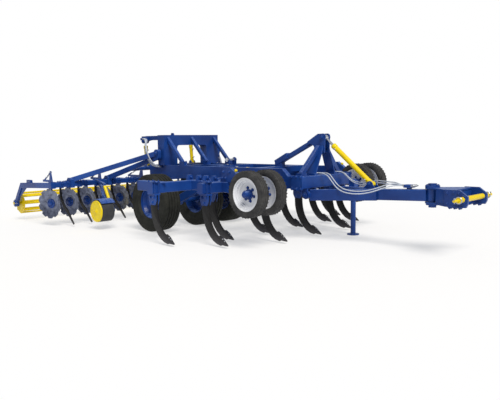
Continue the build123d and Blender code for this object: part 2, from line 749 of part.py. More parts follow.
# Hitch head: fork plates on the kingpin, closed sides out to two cheeks, and the lower-link cross shaft
FORK_GAP = 95                     # from the hitch height to each fork plate
FORK_THICK = 22
CHEEK_Y = 320
CHEEK_REAR_X = KINGPIN_X + 340
SHAFT_SHOULDER = 482.5            # half the span between the lower links
PIN_END = 620
with BuildPart() as hitch_head:
    for z in (HITCH_Z + FORK_GAP, HITCH_Z - FORK_GAP - FORK_THICK):
        with BuildSketch(Plane.XY.offset(z)):
            with BuildLine():
                Polyline(
                    (KINGPIN_X, -104),
                    (KINGPIN_X + 90, -125),
                    (CHEEK_REAR_X, -CHEEK_Y + 15),
                    (CHEEK_REAR_X + 110, -CHEEK_Y + 15),
                    (CHEEK_REAR_X + 110, CHEEK_Y - 15),
                    (CHEEK_REAR_X, CHEEK_Y - 15),
                    (KINGPIN_X + 90, 125),
                    (KINGPIN_X, 104),
                    close=True,
                )
            make_face()
            with Locations((KINGPIN_X, 0)):
                Circle(104)
        extrude(amount=FORK_THICK)
    # Closed sides between the fork plates, and the cross box behind the shaft
    for sign in (-1, 1):
        beam(
            (KINGPIN_X + 120, sign * 125, HITCH_Z),
            (CHEEK_REAR_X + 20, sign * (CHEEK_Y - 30), HITCH_Z),
            24,
            2 * FORK_GAP + 2,
        )
    slab(
        KINGPIN_X + 330,
        KINGPIN_X + 440,
        -CHEEK_Y,
        CHEEK_Y,
        HITCH_Z - FORK_GAP - 1,
        HITCH_Z + FORK_GAP + 1,
    )
    # Kingpin with its stepped cap, lower flange and nut
    for z0, z1, radius in ((661, 980, 35), (948, 976, 105), (976, 1004, 62), (690, 714, 92)):
        with BuildSketch(Plane.XY.offset(z0)):
            with Locations((KINGPIN_X, 0)):
                Circle(radius)
        extrude(amount=z1 - z0)
    with BuildSketch(Plane.XY.offset(655)):
        with Locations((KINGPIN_X, 0)):
            RegularPolygon(62, 6)
    extrude(amount=35)
    # Cheeks with the eyes of the cross shaft
    for sign in (-1, 1):
        with BuildSketch(side(sign * CHEEK_Y)):
            with BuildLine():
                Polyline(
                    (CHEEK_REAR_X, HITCH_Z - 111),
                    (CHEEK_REAR_X, HITCH_Z + 124),
                    (CHEEK_REAR_X + 210, HITCH_Z + 124),
                    (CHEEK_REAR_X + 325, HITCH_Z + 39),
                    (CHEEK_REAR_X + 325, HITCH_Z - 61),
                    (CHEEK_REAR_X + 300, HITCH_Z - 111),
                    close=True,
                )
            make_face()
        extrude(amount=20, both=True)
        low, high = sorted((sign * (CHEEK_Y + 20), sign * (CHEEK_Y + 42)))
        cross_bar(HITCH_X, HITCH_Z, low, high, 58)
        slab(
            CHEEK_REAR_X + 60,
            CHEEK_REAR_X + 250,
            sign * CHEEK_Y - 42,
            sign * CHEEK_Y + 42,
            HITCH_Z - 117,
            HITCH_Z - 97,
        )
    cross_bar(HITCH_X, HITCH_Z, -700, 700, 38.1, Mode.SUBTRACT)
save(hitch_head.part, "hitch_head")
with BuildPart() as cross_shaft:
    cross_bar(HITCH_X, HITCH_Z, -SHAFT_SHOULDER, SHAFT_SHOULDER, 38)
    cross_bar(HITCH_X, HITCH_Z, -PIN_END, PIN_END, 18.3)
save(cross_shaft.part, "cross_shaft")

# Levelling cylinder from the drawbar's lug to the tower
LEVEL_FOOT = (LUG_X, 0, LUG_Z)
LEVEL_HEAD = (TOWER_PIN_X, 0, TOWER_PIN_Z)
with BuildPart() as level_barrel:
    cylinder_barrel(LEVEL_FOOT, LEVEL_HEAD, 960, 42, 28, 860, 45, 20.5, 84)
save(level_barrel.part, "level_barrel")
with BuildPart() as level_rod:
    cylinder_rod(LEVEL_FOOT, LEVEL_HEAD, 300, 22, 42, 30, 70)
save(level_rod.part, "level_rod")

# Rear section: draft arms hinged on the gantry, disc beam, cross tube and inner cross member
ARM_FEET_Y = (2100, 1250)         # where the draft arms meet the disc beam
with BuildPart() as rear_frame:
    beam((DISC_BEAM_X, -2450, 840), (DISC_BEAM_X, 2450, 840), 120, 100)
    cross_bar(LIFT_FOOT[0], 1110, -1030, 1030, 42)
    for sign in (-1, 1):
        y = sign * REAR_PIVOT_Y
        beam((REAR_PIVOT_X, y, 1440), (DISC_BEAM_X, sign * ARM_FEET_Y[0], 915), 80, 100)
        beam((REAR_PIVOT_X - 20, y, 1350), (DISC_BEAM_X, sign * ARM_FEET_Y[1], 915), 80, 100)
        with BuildSketch(side(y)):
            with Locations((REAR_PIVOT_X - 8, REAR_PIVOT_Z - 28)):
                RectangleRounded(142, 220, 66)
        extrude(amount=42, both=True)
        low, high = sorted((y - sign * 60, y + sign * 60))
        cross_bar(REAR_PIVOT_X, REAR_PIVOT_Z, low, high, 35.5, Mode.SUBTRACT)
        # Lugs that hold the lift cylinder's foot on the cross tube
        for cheek in (-50, 50):
            with BuildSketch(side(sign * RAIL_Y + cheek)):
                with Locations((LIFT_FOOT[0], LIFT_FOOT[2])):
                    Circle(40)
                with BuildLine():
                    Polyline(
                        (LIFT_FOOT[0] - 40, LIFT_FOOT[2]),
                        (LIFT_FOOT[0] + 40, LIFT_FOOT[2]),
                        (LIFT_FOOT[0] + 58, LIFT_FOOT[2] - 72),
                        (LIFT_FOOT[0] - 58, LIFT_FOOT[2] - 72),
                        close=True,
                    )
                make_face()
            extrude(amount=10, both=True)
        cross_bar(LIFT_FOOT[0], LIFT_FOOT[2], sign * RAIL_Y - 70, sign * RAIL_Y + 70, 22)
        # Clamped feet of the draft arms on the disc beam
        for foot_y in ARM_FEET_Y:
            with BuildSketch(side(sign * foot_y)):
                with BuildLine():
                    Polyline(
                        (DISC_BEAM_X - 85, 770),
                        (DISC_BEAM_X - 85, 905),
                        (DISC_BEAM_X - 30, 968),
                        (DISC_BEAM_X + 50, 968),
                        (DISC_BEAM_X + 85, 930),
                        (DISC_BEAM_X + 85, 770),
                        close=True,
                    )
                make_face()
            extrude(amount=46, both=True)
        # End plate of the disc beam, under the roller arm's root
        slab(DISC_BEAM_X - 68, DISC_BEAM_X + 68, sign * 2456 - 8, sign * 2456 + 8, 778, 902)
save(rear_frame.part, "rear_frame")

# Roller arms: bent box arms on the ends of the disc beam, with gusset, stub and bearing housing
ARM_Y = 2520
ELBOW_X = AXLE_X - 3240
with BuildPart() as roller_arms:
    for sign in (-1, 1):
        y = sign * ARM_Y
        beam((DISC_BEAM_X + 60, y, 840), (ELBOW_X - 30, y, 782), 60, 110)
        beam((ELBOW_X - 10, y, 806), (ROLLER_X, y, ROLLER_Z), 60, 96)
        with BuildSketch(side(y)):
            with BuildLine():
                Polyline(
                    (ELBOW_X + 190, 748),
                    (ELBOW_X - 10, 748),
                    (ELBOW_X - 165, 560),
                    (ELBOW_X - 120, 545),
                    close=True,
                )
            make_face()
        extrude(amount=12, both=True)
        # Stub on top that carries the roller's setting pin
        with BuildSketch(side(y)):
            with BuildLine():
                Polyline(
                    (AXLE_X - 3000, 820),
                    (AXLE_X - 2985, 912),
                    (AXLE_X - 2815, 912),
                    (AXLE_X - 2790, 825),
                    close=True,
                )
            make_face()
            with Locations((AXLE_X - 2940, 885), (AXLE_X - 2860, 885)):
                Circle(11, mode=Mode.SUBTRACT)
        extrude(amount=24, both=True)
        cross_bar(ROLLER_X, ROLLER_Z, y - 35, y + 35, 78)
        slab(
            DISC_BEAM_X - 60,
            DISC_BEAM_X + 60,
            y - sign * 15 - 41,
            y - sign * 15 + 41,
            772,
            900,
        )
        cross_bar(ROLLER_X, ROLLER_Z, y - 60, y + 60, 30.5, Mode.SUBTRACT)
save(roller_arms.part, "roller_arms")

# Adjuster masts on the disc beam: tapered plate, rear lever and the spindle between them.
# y of the mast, then x of the apex, height of the apex, x of the base's ends, x and z of the spindle's foot
MASTS = (
    (2510, -1960, 1100, -2025, -1890, -2260, 900, 915),
    (1430, -1950, 1090, -2035, -1895, -2290, 890, 925),
    (400, -1900, 1130, -2030, -1875, -2420, 890, 925),
)
with BuildPart() as adjuster_masts:
    for y, apex_x, apex_z, rear_x, front_x, foot_x, base_z, foot_z in MASTS:
        for sign in (-1, 1):
            with BuildSketch(side(sign * y)):
                with BuildLine():
                    Polyline(
                        (AXLE_X + rear_x, base_z),
                        (AXLE_X + apex_x - 18, apex_z),
                        (AXLE_X + apex_x + 18, apex_z),
                        (AXLE_X + front_x, base_z),
                        close=True,
                    )
                make_face()
                with Locations((AXLE_X + apex_x, apex_z)):
                    Circle(24)
            extrude(amount=9, both=True)
            start = Vector(AXLE_X + apex_x, sign * y, apex_z)
            end = Vector(AXLE_X + foot_x, sign * y, foot_z)
            with BuildSketch(Plane(origin=start, z_dir=end - start)):
                Circle(14)
            extrude(amount=(end - start).length)
            # Lever plate that runs back from the beam to the spindle's foot
            slab(
                AXLE_X + foot_x - 30,
                DISC_BEAM_X - 20,
                sign * y - 9,
                sign * y + 9,
                base_z,
                base_z + 44,
            )
save(adjuster_masts.part, "adjuster_masts")

# Disc stems: a curved leg that runs back from the beam and down behind each disc's bearing
DISC_PLACES = tuple(k * DISC_PITCH for k in (-6, -5, -4, -3, -2, -1, 1, 2, 3, 4, 5, 6))
STEM_THICK = 30
with BuildPart() as disc_stems:
    for y in DISC_PLACES:
        sign = 1 if y > 0 else -1
        stem_y = y - sign * 75
        with BuildSketch(side(stem_y)):
            with BuildLine():
                top = Line((DISC_BEAM_X - 60, 885), (DISC_X - 100, 885))
                back_arc = ThreePointArc(top @ 1, (DISC_X - 183, 850), (DISC_X - 218, 765))
                back = ThreePointArc(back_arc @ 1, (DISC_X - 180, 560), (DISC_X - 50, 418))
                Line(back @ 1, (DISC_X + 48, DISC_Z + 36))
                front = ThreePointArc(
                    (DISC_X + 48, DISC_Z + 36),
                    (DISC_X - 88, 620),
                    (DISC_X - 118, 765),
                )
                front_arc = ThreePointArc(front @ 1, (DISC_X - 108, 790), (DISC_X - 85, 800))
                Line(front_arc @ 1, (DISC_BEAM_X - 60, 800))
                Line((DISC_BEAM_X - 60, 800), (DISC_BEAM_X - 60, 885))
            make_face()
            with Locations((DISC_X, DISC_Z)):
                Circle(60)
        extrude(amount=STEM_THICK / 2, both=True)
save(disc_stems.part, "disc_stems")

# Notched disc about the local Z axis: a dished blade with a hub, notches round the rim
NOTCHES = 10
with BuildPart() as disc_master:
    with BuildSketch(Plane.XZ):
        with BuildLine():
            Polyline(
                (0, -38),
                (60, -38),
                (60, 0),
                (150, 6),
                (230, 22),
                (DISC_RADIUS, 52),
                (DISC_RADIUS, 60),
                (225, 31),
                (150, 15),
                (60, 10),
                (45, 30),
                (0, 30),
                close=True,
            )
        make_face()
    revolve(axis=Axis.Z)
    with BuildSketch(Plane.XY.offset(-60)):
        with PolarLocations(DISC_RADIUS + 12, NOTCHES):
            Circle(38)
    extrude(amount=160, mode=Mode.SUBTRACT)
for number, y in enumerate(DISC_PLACES, start=1):
    sign = 1 if y > 0 else -1
    with BuildPart() as disc:
        spin_axis = (sin(radians(DISC_YAW)), sign * cos(radians(DISC_YAW)), 0)
        disc_plane = Plane(origin=(DISC_X, y, DISC_Z), x_dir=(1, 0, 0), z_dir=spin_axis)
        with Locations(disc_plane.location):
            add(disc_master.part)
    save(disc.part, f"disc_{number:02d}")

# Narrow curved rear tines between the discs
REAR_TINE_PLACES = tuple((k + 0.5) * DISC_PITCH for k in range(-6, 6))
with BuildPart() as rear_tines:
    for y in REAR_TINE_PLACES:
        with BuildSketch(side(y)):
            with BuildLine():
                Polyline(
                    (AXLE_X - 2165, 620),
                    (AXLE_X - 2165, 815),
                    (DISC_BEAM_X - 60, 815),
                    (DISC_BEAM_X - 60, 870),
                    (AXLE_X - 2225, 870),
                    (AXLE_X - 2225, 620),
                )
                heel = ThreePointArc(
                    (AXLE_X - 2225, 620),
                    (AXLE_X - 2130, 420),
                    (AXLE_X - 1950, 262),
                )
                Polyline(
                    heel @ 1,
                    (AXLE_X - 1712, 45),
                    (AXLE_X - 1690, 62),
                    (AXLE_X - 1930, 330),
                )
                ThreePointArc(
                    (AXLE_X - 1930, 330),
                    (AXLE_X - 2088, 470),
                    (AXLE_X - 2165, 620),
                )
            make_face()
        extrude(amount=11, both=True)
save(rear_tines.part, "rear_tines")

DEPTH_X = AXLE_X - 960
DEPTH_Y = 1980
DEPTH_Z = 360
DEPTH_RADIUS = 207
DEPTH_ARM_Y = DEPTH_Y - 200
KNEE_X = AXLE_X - 1235
GUARD_RADIUS = DEPTH_RADIUS + 22


def strut(y, mode=Mode.ADD):
    """The depth wheel's strut from the upper link down to the drum's arm, or the seat it leaves."""
    head = Vector(AXLE_X - 1190, y, 812)
    toe = Vector(DEPTH_X - 20, y, DEPTH_Z + 62)
    reach = (toe - head).length
    for radius, run in ((30, reach - 130), (16, reach)):
        with BuildSketch(Plane(origin=head, z_dir=toe - head)) as section:
            Circle(radius)
        extrude(section.sketch, amount=run, mode=mode)


# Depth wheels of the rear section: clamp, bent arm, guard, yellow strut and a capped drum each side
with BuildPart() as depth_arms:
    for sign in (-1, 1):
        arm_y = sign * DEPTH_ARM_Y
        # Clamp cluster on the disc beam's front face
        slab(DISC_BEAM_X + 60, DISC_BEAM_X + 118, sign * 1490 - 100, sign * 1490 + 100, 772, 908)
        beam((DISC_BEAM_X + 90, sign * 1500, 832), (KNEE_X, arm_y, 590), 60, 84)
        beam((KNEE_X - 14, arm_y, 606), (DEPTH_X, arm_y, DEPTH_Z), 60, 84)
        cross_bar(DEPTH_X, DEPTH_Z, arm_y - 30, arm_y + 30, 62)
        low, high = sorted((arm_y, sign * (DEPTH_Y + 120)))
        cross_bar(DEPTH_X, DEPTH_Z, low, high, 25)
        # Upper link that holds the strut's head
        beam((DISC_BEAM_X + 90, sign * 1560, 880), (AXLE_X - 1180, arm_y, 838), 44, 52)
        # Guard over the drum, on a web beside it
        with BuildSketch(side(sign * (DEPTH_Y - 18))):
            with BuildLine():
                CenterArc((DEPTH_X, DEPTH_Z), GUARD_RADIUS, 42, 86)
                CenterArc((DEPTH_X, DEPTH_Z), GUARD_RADIUS + 8, 42, 86)
                for turn in (42, 128):
                    reach = cos(radians(turn)), sin(radians(turn))
                    Line(
                        (DEPTH_X + GUARD_RADIUS * reach[0], DEPTH_Z + GUARD_RADIUS * reach[1]),
                        (
                            DEPTH_X + (GUARD_RADIUS + 8) * reach[0],
                            DEPTH_Z + (GUARD_RADIUS + 8) * reach[1],
                        ),
                    )
            make_face()
        extrude(amount=146, both=True)
        with BuildSketch(side(arm_y + sign * 36)):
            with BuildLine():
                Polyline(
                    (DEPTH_X - 60, DEPTH_Z),
                    (DEPTH_X - 45, DEPTH_Z + GUARD_RADIUS),
                    (DEPTH_X + 45, DEPTH_Z + GUARD_RADIUS),
                    (DEPTH_X + 60, DEPTH_Z),
                    close=True,
                )
            make_face()
        extrude(amount=6, both=True)
        strut(arm_y, Mode.SUBTRACT)
save(depth_arms.part, "depth_arms")
with BuildPart() as depth_struts:
    for sign in (-1, 1):
        strut(sign * DEPTH_ARM_Y)
save(depth_struts.part, "depth_struts")
for side_name, side_sign in (("right", -1), ("left", 1)):
    with BuildPart() as depth_drum:
        with BuildSketch(side(side_sign * DEPTH_Y)):
            with Locations((DEPTH_X, DEPTH_Z)):
                Circle(DEPTH_RADIUS)
                Circle(25.4, mode=Mode.SUBTRACT)
        extrude(amount=130, both=True)
    save(depth_drum.part, f"depth_drum_{side_name}")
    with BuildPart() as depth_cap:
        low, high = sorted((side_sign * (DEPTH_Y + 130), side_sign * (DEPTH_Y + 148)))
        cross_bar(DEPTH_X, DEPTH_Z, low, high, DEPTH_RADIUS - 4)
    save(depth_cap.part, f"depth_cap_{side_name}")

# Lift cylinders of the rear section
for side_name, side_sign in (("right", -1), ("left", 1)):
    top = (LIFT_TOP[0], side_sign * LIFT_TOP[1], LIFT_TOP[2])
    foot = (LIFT_FOOT[0], side_sign * LIFT_FOOT[1], LIFT_FOOT[2])
    with BuildPart() as lift_barrel:
        cylinder_barrel(foot, top, 385, 38, 26, 330, 36, 22.5, 72)
    save(lift_barrel.part, f"lift_barrel_{side_name}")
    with BuildPart() as lift_rod:
        cylinder_rod(foot, top, 150, 20, 36, 28, 60)
    save(lift_rod.part, f"lift_rod_{side_name}")

# Cage roller: end and middle rings joined by straight bars, on a thin shaft
ROLLER_BARS = 8
BAR_RADIUS = 22
RING_COUNT = 9
with BuildPart() as roller:
    for k in range(RING_COUNT):
        y = -ROLLER_HALF + 10 + k * (2 * ROLLER_HALF - 20) / (RING_COUNT - 1)
        with BuildSketch(side(y)):
            with Locations((ROLLER_X, ROLLER_Z)):
                Circle(ROLLER_RADIUS - 16)
                Circle(ROLLER_RADIUS - 72, mode=Mode.SUBTRACT)
        extrude(amount=6, both=True)
    for k in range(ROLLER_BARS):
        angle = 360 / ROLLER_BARS * k
        x = ROLLER_X + (ROLLER_RADIUS - BAR_RADIUS) * cos(radians(angle))
        z = ROLLER_Z + (ROLLER_RADIUS - BAR_RADIUS) * sin(radians(angle))
        cross_bar(x, z, -ROLLER_HALF, ROLLER_HALF, BAR_RADIUS)
    cross_bar(ROLLER_X, ROLLER_Z, -2580, 2580, 30)
    for sign in (-1, 1):
        low, high = sorted((sign * ROLLER_HALF, sign * (ROLLER_HALF - 12)))
        cross_bar(ROLLER_X, ROLLER_Z, low, high, ROLLER_RADIUS - 60)
save(roller.part, "roller")
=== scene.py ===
# %% [markdown]
# A disc chisel is a trailed farm machine: heavy curved tines loosen the soil, notched discs and narrow
# tines mix it, and a cage roller firms it. This lesson dresses the machine's measured solids with paint,
# rubber and steel, and adds the small pieces that the solids leave out. The first step loads the solids
# as a fixed frame.
# %% Load the solids
import json
from math import cos, pi, radians, sin

import bmesh
import bpy
from mathutils import Matrix, Vector


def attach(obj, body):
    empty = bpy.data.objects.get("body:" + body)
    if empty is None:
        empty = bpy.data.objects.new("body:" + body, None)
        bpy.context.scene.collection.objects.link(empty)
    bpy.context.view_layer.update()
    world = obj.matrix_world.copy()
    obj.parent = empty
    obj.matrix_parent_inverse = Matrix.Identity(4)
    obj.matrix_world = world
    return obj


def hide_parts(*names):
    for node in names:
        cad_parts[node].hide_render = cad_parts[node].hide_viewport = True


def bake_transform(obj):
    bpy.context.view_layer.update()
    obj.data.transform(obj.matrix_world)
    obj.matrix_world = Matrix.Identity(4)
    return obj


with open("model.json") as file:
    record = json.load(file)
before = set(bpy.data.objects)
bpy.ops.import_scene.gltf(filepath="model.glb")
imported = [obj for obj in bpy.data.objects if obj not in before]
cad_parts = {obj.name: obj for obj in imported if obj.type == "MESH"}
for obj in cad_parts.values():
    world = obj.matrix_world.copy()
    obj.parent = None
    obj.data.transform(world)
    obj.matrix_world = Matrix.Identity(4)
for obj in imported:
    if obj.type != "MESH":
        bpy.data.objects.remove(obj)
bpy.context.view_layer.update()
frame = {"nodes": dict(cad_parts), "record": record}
nodes = frame["nodes"]
print("solids loaded:", len(nodes))

# %% [markdown]
# The camera stands low beside the hitch and looks back along the machine. Its place, its angles and its
# lens were worked out from the wheels and beams in the photograph. It could be aimed with a constraint,
# but three angles written down are easier to check: turn, tilt and a slight roll.
# %% Camera
CAMERA_PLACE = Vector((7.743, -7.657, 1.644))
CAMERA_TURN = radians(-44.354)     # from +Y, towards +X
CAMERA_TILT = radians(-5.952)
CAMERA_ROLL = radians(-0.794)
CAMERA_LENS = 40.344               # mm, on a sensor 36 mm wide

forward = Vector((
    sin(CAMERA_TURN) * cos(CAMERA_TILT),
    cos(CAMERA_TURN) * cos(CAMERA_TILT),
    sin(CAMERA_TILT),
))
level_right = forward.cross(Vector((0, 0, 1))).normalized()
level_up = level_right.cross(forward)
right = level_right * cos(CAMERA_ROLL) + level_up * sin(CAMERA_ROLL)
up = level_up * cos(CAMERA_ROLL) - level_right * sin(CAMERA_ROLL)

camera_data = bpy.data.cameras.new("camera")
camera_data.lens = CAMERA_LENS
camera_data.sensor_width = 36
camera_data.clip_end = 500
camera = bpy.data.objects.new("camera", camera_data)
turn = Matrix((right, up, -forward)).transposed().to_4x4()
camera.matrix_world = Matrix.Translation(CAMERA_PLACE) @ turn
bpy.context.scene.collection.objects.link(camera)
bpy.context.scene.camera = camera
bpy.context.scene.view_settings.view_transform = "Standard"
print("camera stands", round(CAMERA_PLACE.length, 2), "m from the origin")

# %% [markdown]
# Colours are written as the hex values that a paint chart gives. Blender works with linear light, so one
# function turns each hex value into linear numbers. A second small function adds a node to a material and
# sets or links its sockets, which keeps every material a short list of steps.
# %% Colour and node helpers
def srgb(code):
    """Linear red, green, blue and alpha of a hex colour such as '1f3d7a'."""
    channels = []
    for start in (0, 2, 4):
        value = int(code[start:start + 2], 16) / 255
        channels.append(value / 12.92 if value <= 0.04045 else ((value + 0.055) / 1.055) ** 2.4)
    return (*channels, 1.0)


def add_node(material, kind, settings=None, sockets=None):
    """Adds a node, sets its properties, and sets or links its input sockets by name or number."""
    tree = material.node_tree
    node = tree.nodes.new(kind)
    for name, value in (settings or {}).items():
        setattr(node, name, value)
    for name, value in (sockets or {}).items():
        if isinstance(value, bpy.types.NodeSocket):
            tree.links.new(value, node.inputs[name])
        else:
            node.inputs[name].default_value = value
    return node


def start_material(name, **sockets):
    """A new material and its shader, with plain values on the shader's own sockets."""
    material = bpy.data.materials.new(name)
    material.use_nodes = True
    shader = material.node_tree.nodes["Principled BSDF"]
    for socket, value in sockets.items():
        shader.inputs[socket.replace("_", " ")].default_value = value
    return material, shader


# %% [markdown]
# The floor is a wide pale disc that keeps the machine's shadow. Far from the machine it turns into plain
# white, the same white as the sky behind it, so that no horizon line shows. The white comes from the
# floor's and the sky's own colour, never from more light on the machine.
# %% Floor and sky
FLOOR_RADIUS = 60.0
FADE_START = 3.2                   # m from the middle, where the floor starts to turn white
FADE_END = 8.5

floor_paint, floor_shader = start_material("pale_studio_floor", Roughness=0.9)
floor_shader.inputs["Base Color"].default_value = srgb("f0f1f2")
where = add_node(floor_paint, "ShaderNodeTexCoord")
distance = add_node(
    floor_paint, "ShaderNodeVectorMath", {"operation": "LENGTH"}, {0: where.outputs["Object"]}
)
fade = add_node(floor_paint, "ShaderNodeMapRange", {"interpolation_type": "SMOOTHSTEP"}, {
    "Value": distance.outputs["Value"],
    "From Min": FADE_START,
    "From Max": FADE_END,
    "To Min": 0.5,
    "To Max": 1.0,
})
ray = add_node(floor_paint, "ShaderNodeLightPath")
seen = add_node(floor_paint, "ShaderNodeMath", {"operation": "MAXIMUM"}, {
    0: ray.outputs["Is Camera Ray"],
    1: ray.outputs["Is Glossy Ray"],
})
white_share = add_node(floor_paint, "ShaderNodeMath", {"operation": "MULTIPLY"}, {
    0: fade.outputs["Result"],
    1: seen.outputs["Value"],
})
white = add_node(floor_paint, "ShaderNodeEmission", None, {"Color": (1, 1, 1, 1), "Strength": 1.0})
floor_mix = add_node(floor_paint, "ShaderNodeMixShader", None, {
    0: white_share.outputs["Value"],
    1: floor_shader.outputs["BSDF"],
    2: white.outputs["Emission"],
})
floor_paint.node_tree.links.new(
    floor_mix.outputs["Shader"], floor_paint.node_tree.nodes["Material Output"].inputs["Surface"]
)

floor_mesh = bmesh.new()
bmesh.ops.create_circle(floor_mesh, cap_ends=True, segments=96, radius=FLOOR_RADIUS)
floor_data = bpy.data.meshes.new("floor")
floor_mesh.to_mesh(floor_data)
floor_mesh.free()
floor_data.materials.append(floor_paint)
floor = bpy.data.objects.new("floor", floor_data)
bpy.context.scene.collection.objects.link(floor)

sky = bpy.data.worlds.new("pale_sky")
bpy.context.scene.world = sky
sky.use_nodes = True
sky_light = sky.node_tree.nodes["Background"]
sky_light.inputs["Color"].default_value = srgb("eef2fa")
sky_light.inputs["Strength"].default_value = 0.42
sky_seen = sky.node_tree.nodes.new("ShaderNodeBackground")
sky_seen.inputs["Color"].default_value = (1, 1, 1, 1)
sky_seen.inputs["Strength"].default_value = 1.0
sky_ray = sky.node_tree.nodes.new("ShaderNodeLightPath")
sky_mix = sky.node_tree.nodes.new("ShaderNodeMixShader")
sky.node_tree.links.new(sky_ray.outputs["Is Camera Ray"], sky_mix.inputs[0])
sky.node_tree.links.new(sky_light.outputs["Background"], sky_mix.inputs[1])
sky.node_tree.links.new(sky_seen.outputs["Background"], sky_mix.inputs[2])
sky.node_tree.links.new(sky_mix.outputs["Shader"], sky.node_tree.nodes["World Output"].inputs["Surface"])

# %% [markdown]
# Bright, thinly clouded daylight lit the machine. One wide sun lamp from above the camera's right lights
# the tops of the beams, whose paleness on the blue is partly a painted highlight, and the sky fills the rest.
# A wide sun has soft shadows, and it lights both ends of a nine metre machine alike, which an area lamp would
# not.
# %% Sun
sun_data = bpy.data.lights.new("sun", "SUN")
sun_data.energy = 3.3
sun_data.angle = radians(28)
sun_data.color = srgb("fff8ee")[:3]
sun = bpy.data.objects.new("sun", sun_data)
SUN_FROM = Vector((0.72, -0.34, 1.0))
sun.rotation_mode = "QUATERNION"
sun.rotation_quaternion = SUN_FROM.to_track_quat("Z", "Y")
bpy.context.scene.collection.objects.link(sun)

# %% [markdown]
# The frame is welded steel, sprayed with a gloss enamel. Such paint is never one even colour: it is a
# little thicker here and there, its skin has a faint ripple, and what faces up is paler: fine dust, and on
# the blue mostly a painted highlight standing for the sky's sheen on the tops. Each of these is one noise
# on the object's own coordinates, so it stays put when the camera moves.
# %% Gloss enamel on steel
def enamel(name, body, deep, dust_and_highlight, dust_and_highlight_share, roughness):
    """Sprayed gloss enamel: two close shades, a paler top of dust and painted highlight, and a rippled skin.
    """
    paint, shader = start_material(
        name, Metallic=0.0, IOR=1.5, Specular_IOR_Level=0.25, Coat_Weight=0.08, Coat_Roughness=0.15
    )
    place = add_node(paint, "ShaderNodeTexCoord")
    cloud = add_node(paint, "ShaderNodeTexNoise", None, {
        "Vector": place.outputs["Object"],
        "Scale": 1.6,              # patches of about 600 mm, as the spray gun overlaps
        "Detail": 4.0,
        "Roughness": 0.6,
    })
    shade = add_node(paint, "ShaderNodeValToRGB", None, {"Fac": cloud.outputs["Fac"]})
    shade.color_ramp.elements[0].position = 0.35
    shade.color_ramp.elements[0].color = srgb(deep)
    shade.color_ramp.elements[1].position = 0.68
    shade.color_ramp.elements[1].color = srgb(body)
    facing = add_node(paint, "ShaderNodeNewGeometry")
    height = add_node(paint, "ShaderNodeSeparateXYZ", None, {"Vector": facing.outputs["Normal"]})
    fine_patches = add_node(paint, "ShaderNodeTexNoise", None, {
        "Vector": place.outputs["Object"],
        "Scale": 22.0,             # patches of about 45 mm, for the dust and painted highlight on the tops
        "Detail": 6.0,
        "Roughness": 0.7,
    })
    upward = add_node(paint, "ShaderNodeMapRange", None, {
        "Value": height.outputs["Z"],
        "From Min": 0.55,
        "From Max": 0.98,
    })
    top_patches = add_node(paint, "ShaderNodeMapRange", None, {
        "Value": fine_patches.outputs["Fac"],
        "From Min": 0.38,
        "From Max": 0.75,
        "To Max": dust_and_highlight_share,
    })
    dust_and_highlight_mask = add_node(paint, "ShaderNodeMath", {"operation": "MULTIPLY"}, {
        0: upward.outputs["Result"],
        1: top_patches.outputs["Result"],
    })
    # Upward faces are mixed toward the top colour: dust, and on the blue a painted highlight for the sky's
    # sheen.
    coloured = add_node(paint, "ShaderNodeMix", {"data_type": "RGBA"}, {
        0: dust_and_highlight_mask.outputs["Value"],
        6: shade.outputs["Color"],
        7: srgb(dust_and_highlight),
    })
    gloss = add_node(paint, "ShaderNodeMapRange", None, {
        "Value": fine_patches.outputs["Fac"],
        "To Min": roughness - 0.08,
        "To Max": roughness + 0.14,
    })
    ripple = add_node(paint, "ShaderNodeTexNoise", None, {
        "Vector": place.outputs["Object"],
        "Scale": 90.0,             # real ripple is 2 mm across, drawn as 11 mm so that it shows
        "Detail": 2.0,
    })
    skin = add_node(paint, "ShaderNodeBump", None, {
        "Strength": 0.06,
        "Distance": 0.004,
        "Height": ripple.outputs["Fac"],
    })
    links = paint.node_tree.links
    links.new(coloured.outputs[2], shader.inputs["Base Color"])
    links.new(gloss.outputs["Result"], shader.inputs["Roughness"])
    links.new(skin.outputs["Normal"], shader.inputs["Normal"])
    return paint


# The blue's pale periwinkle top colour is mostly a painted highlight; the yellow's and the white's are dust.
blue_enamel = enamel("blue_enamel", "1b4590", "113274", "93aee6", 0.75, 0.32)
yellow_enamel = enamel("yellow_enamel", "e6cf08", "d6ba06", "e6dc8c", 0.15, 0.36)
white_enamel = enamel("white_rim_enamel", "dfe1e6", "cdd1d8", "b9b4a8", 0.25, 0.38)

